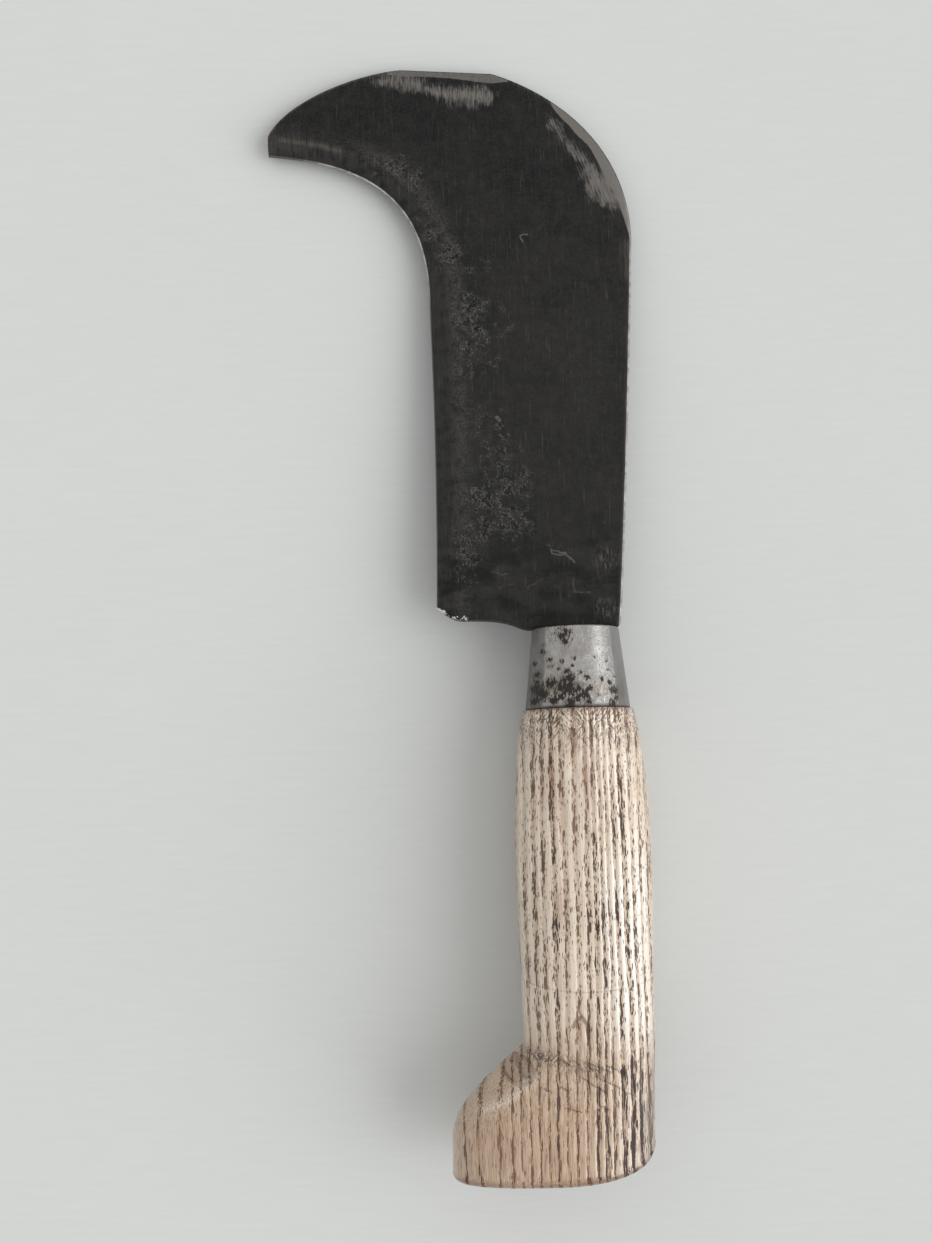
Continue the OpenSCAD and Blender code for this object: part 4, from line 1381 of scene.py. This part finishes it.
def lay_floor(scene, size, tone):
    """A pale floor. The tool rests on shoulder and crown, so the floor leans under the tool's flat frame."""
    h, b = size.handle, size.blade
    shoulder = Vector((0, -size.ferrule.length, -h.shoulder / 2)) * MM + MOUTH
    crown = Vector((0, b.height, -b.crown_thickness / 2)) * MM + MOUTH
    lean = math.atan2(crown.z - shoulder.z, crown.y - shoulder.y)
    corners = ((-1, -1), (1, -1), (1, 1), (-1, 1))
    mesh = bpy.data.meshes.new("floor")
    mesh.from_pydata([(x * FLOOR_HALF, y * FLOOR_HALF, 0) for x, y in corners], [], [(0, 1, 2, 3)])
    mesh.materials.append(painted_floor(tone))
    floor = bpy.data.objects.new("floor", mesh)
    place = Matrix.Translation(shoulder - Vector((0, 0, FLOOR_GAP)))
    floor.matrix_world = place @ Matrix.Rotation(lean, 4, "X")
    scene.collection.objects.link(floor)


def hang_lamp(scene, stage):
    """A far lamp, so that the floor is evenly lit."""
    lamp = bpy.data.lights.new("softbox", "SUN")
    lamp.energy, lamp.angle = stage.lamp, stage.lamp_width
    softbox = bpy.data.objects.new("softbox", lamp)
    softbox.location = LAMP_PLACE
    softbox.rotation_euler = (LAMP_AIM - LAMP_PLACE).to_track_quat("-Z", "Y").to_euler()
    scene.collection.objects.link(softbox)


def light_room(scene, stage):
    """Light from all round, brighter on the back's side and dimmer overhead."""
    scene.world = bpy.data.worlds.new("soft_room")
    sky = Finish(scene.world)
    x, y, z = sky.axes(sky.node("TexCoord", output="Generated"))
    strength = stage.sky + stage.sky_side * x + 0.06 * y - stage.overhead * z.rise(0.7, 0.96)
    strength = strength.most(0.05) + stage.window * x.rise(0.55, 1.0)
    # The camera, the metal and the varnish see an even backdrop as pale as the floor
    direct = sky.sight()
    strength = strength * (1 - direct) + stage.backdrop * direct
    light = sky.node("Background", {}, {"Color": (1, 1, 1, 1), "Strength": strength})
    sky.node("OutputWorld", {}, {"Surface": light})


def aim_camera(scene):
    """A camera over the tool, pitched a little towards the blade."""
    camera = bpy.data.objects.new("camera", bpy.data.cameras.new("camera"))
    c, s, flat = math.cos(CAMERA_ROLL), math.sin(CAMERA_ROLL), math.cos(CAMERA_PITCH)
    right, up = Vector((c, -s, 0)), Vector((s * flat, c * flat, math.sin(CAMERA_PITCH)))
    turn = Matrix((right, up, right.cross(up))).transposed().to_4x4()
    camera.matrix_world = Matrix.Translation(CAMERA_PLACE * MM + MOUTH) @ turn
    camera.data.sensor_width = SENSOR
    camera.data.lens = SENSOR * FOCAL_LENGTH / PICTURE_HEIGHT
    camera.data.clip_start = 0.01
    scene.collection.objects.link(camera)
    scene.camera = camera


class BILLHOOK_OT_stage(bpy.types.Operator):
    """Lay the tool on a pale floor in soft light, seen from above"""

    bl_idname = "billhook.stage"
    bl_label = "Floor, light and camera"
    bl_options = {"REGISTER", "UNDO"}

    def execute(self, context):
        scene, stage = context.scene, context.scene.billhook.stage
        lay_floor(scene, tool_sizes(context), tuple(stage.floor))
        hang_lamp(scene, stage)
        light_room(scene, stage)
        aim_camera(scene)
        scene.view_settings.view_transform = "Standard"
        return {"FINISHED"}


class VIEW3D_PT_billhook(bpy.types.Panel):
    """Lists the pieces and their settings"""

    bl_label = "Billhook"
    bl_space_type = "VIEW_3D"
    bl_region_type = "UI"
    bl_category = "Billhook"

    def draw(self, context):
        settings = context.scene.billhook
        groups = {
            "billhook.blade": ("blade", "tang", "blade_colours"),
            "billhook.ferrule": ("ferrule", "ferrule_colours"),
            "billhook.handle": ("handle", "handle_colours"),
            "billhook.washer": ("washer", "washer_colours"),
            "billhook.stage": ("stage",),
        }
        for operator, names in groups.items():
            box = self.layout.box()
            box.operator(operator)
            for name in names:
                group = getattr(settings, name)
                for key in group.__annotations__:
                    box.prop(group, key)


classes = (
    BladeSizes, TangSizes, FerruleSizes, HandleSizes, WasherSizes,
    BladeColours, FerruleColours, HandleColours, WasherColours, StageSettings, BillhookSettings,
    BILLHOOK_OT_blade, BILLHOOK_OT_ferrule, BILLHOOK_OT_handle, BILLHOOK_OT_washer, BILLHOOK_OT_stage,
    VIEW3D_PT_billhook,
)


def register():
    for kind in classes:
        bpy.utils.register_class(kind)
    bpy.types.Scene.billhook = bpy.props.PointerProperty(type=BillhookSettings)


def unregister():
    del bpy.types.Scene.billhook
    for kind in reversed(classes):
        bpy.utils.unregister_class(kind)


def main():
    register()
    bpy.ops.billhook.blade()
    bpy.ops.billhook.ferrule()
    bpy.ops.billhook.handle()
    bpy.ops.billhook.washer()
    bpy.ops.billhook.stage()


if __name__ == "__main__":
    main()
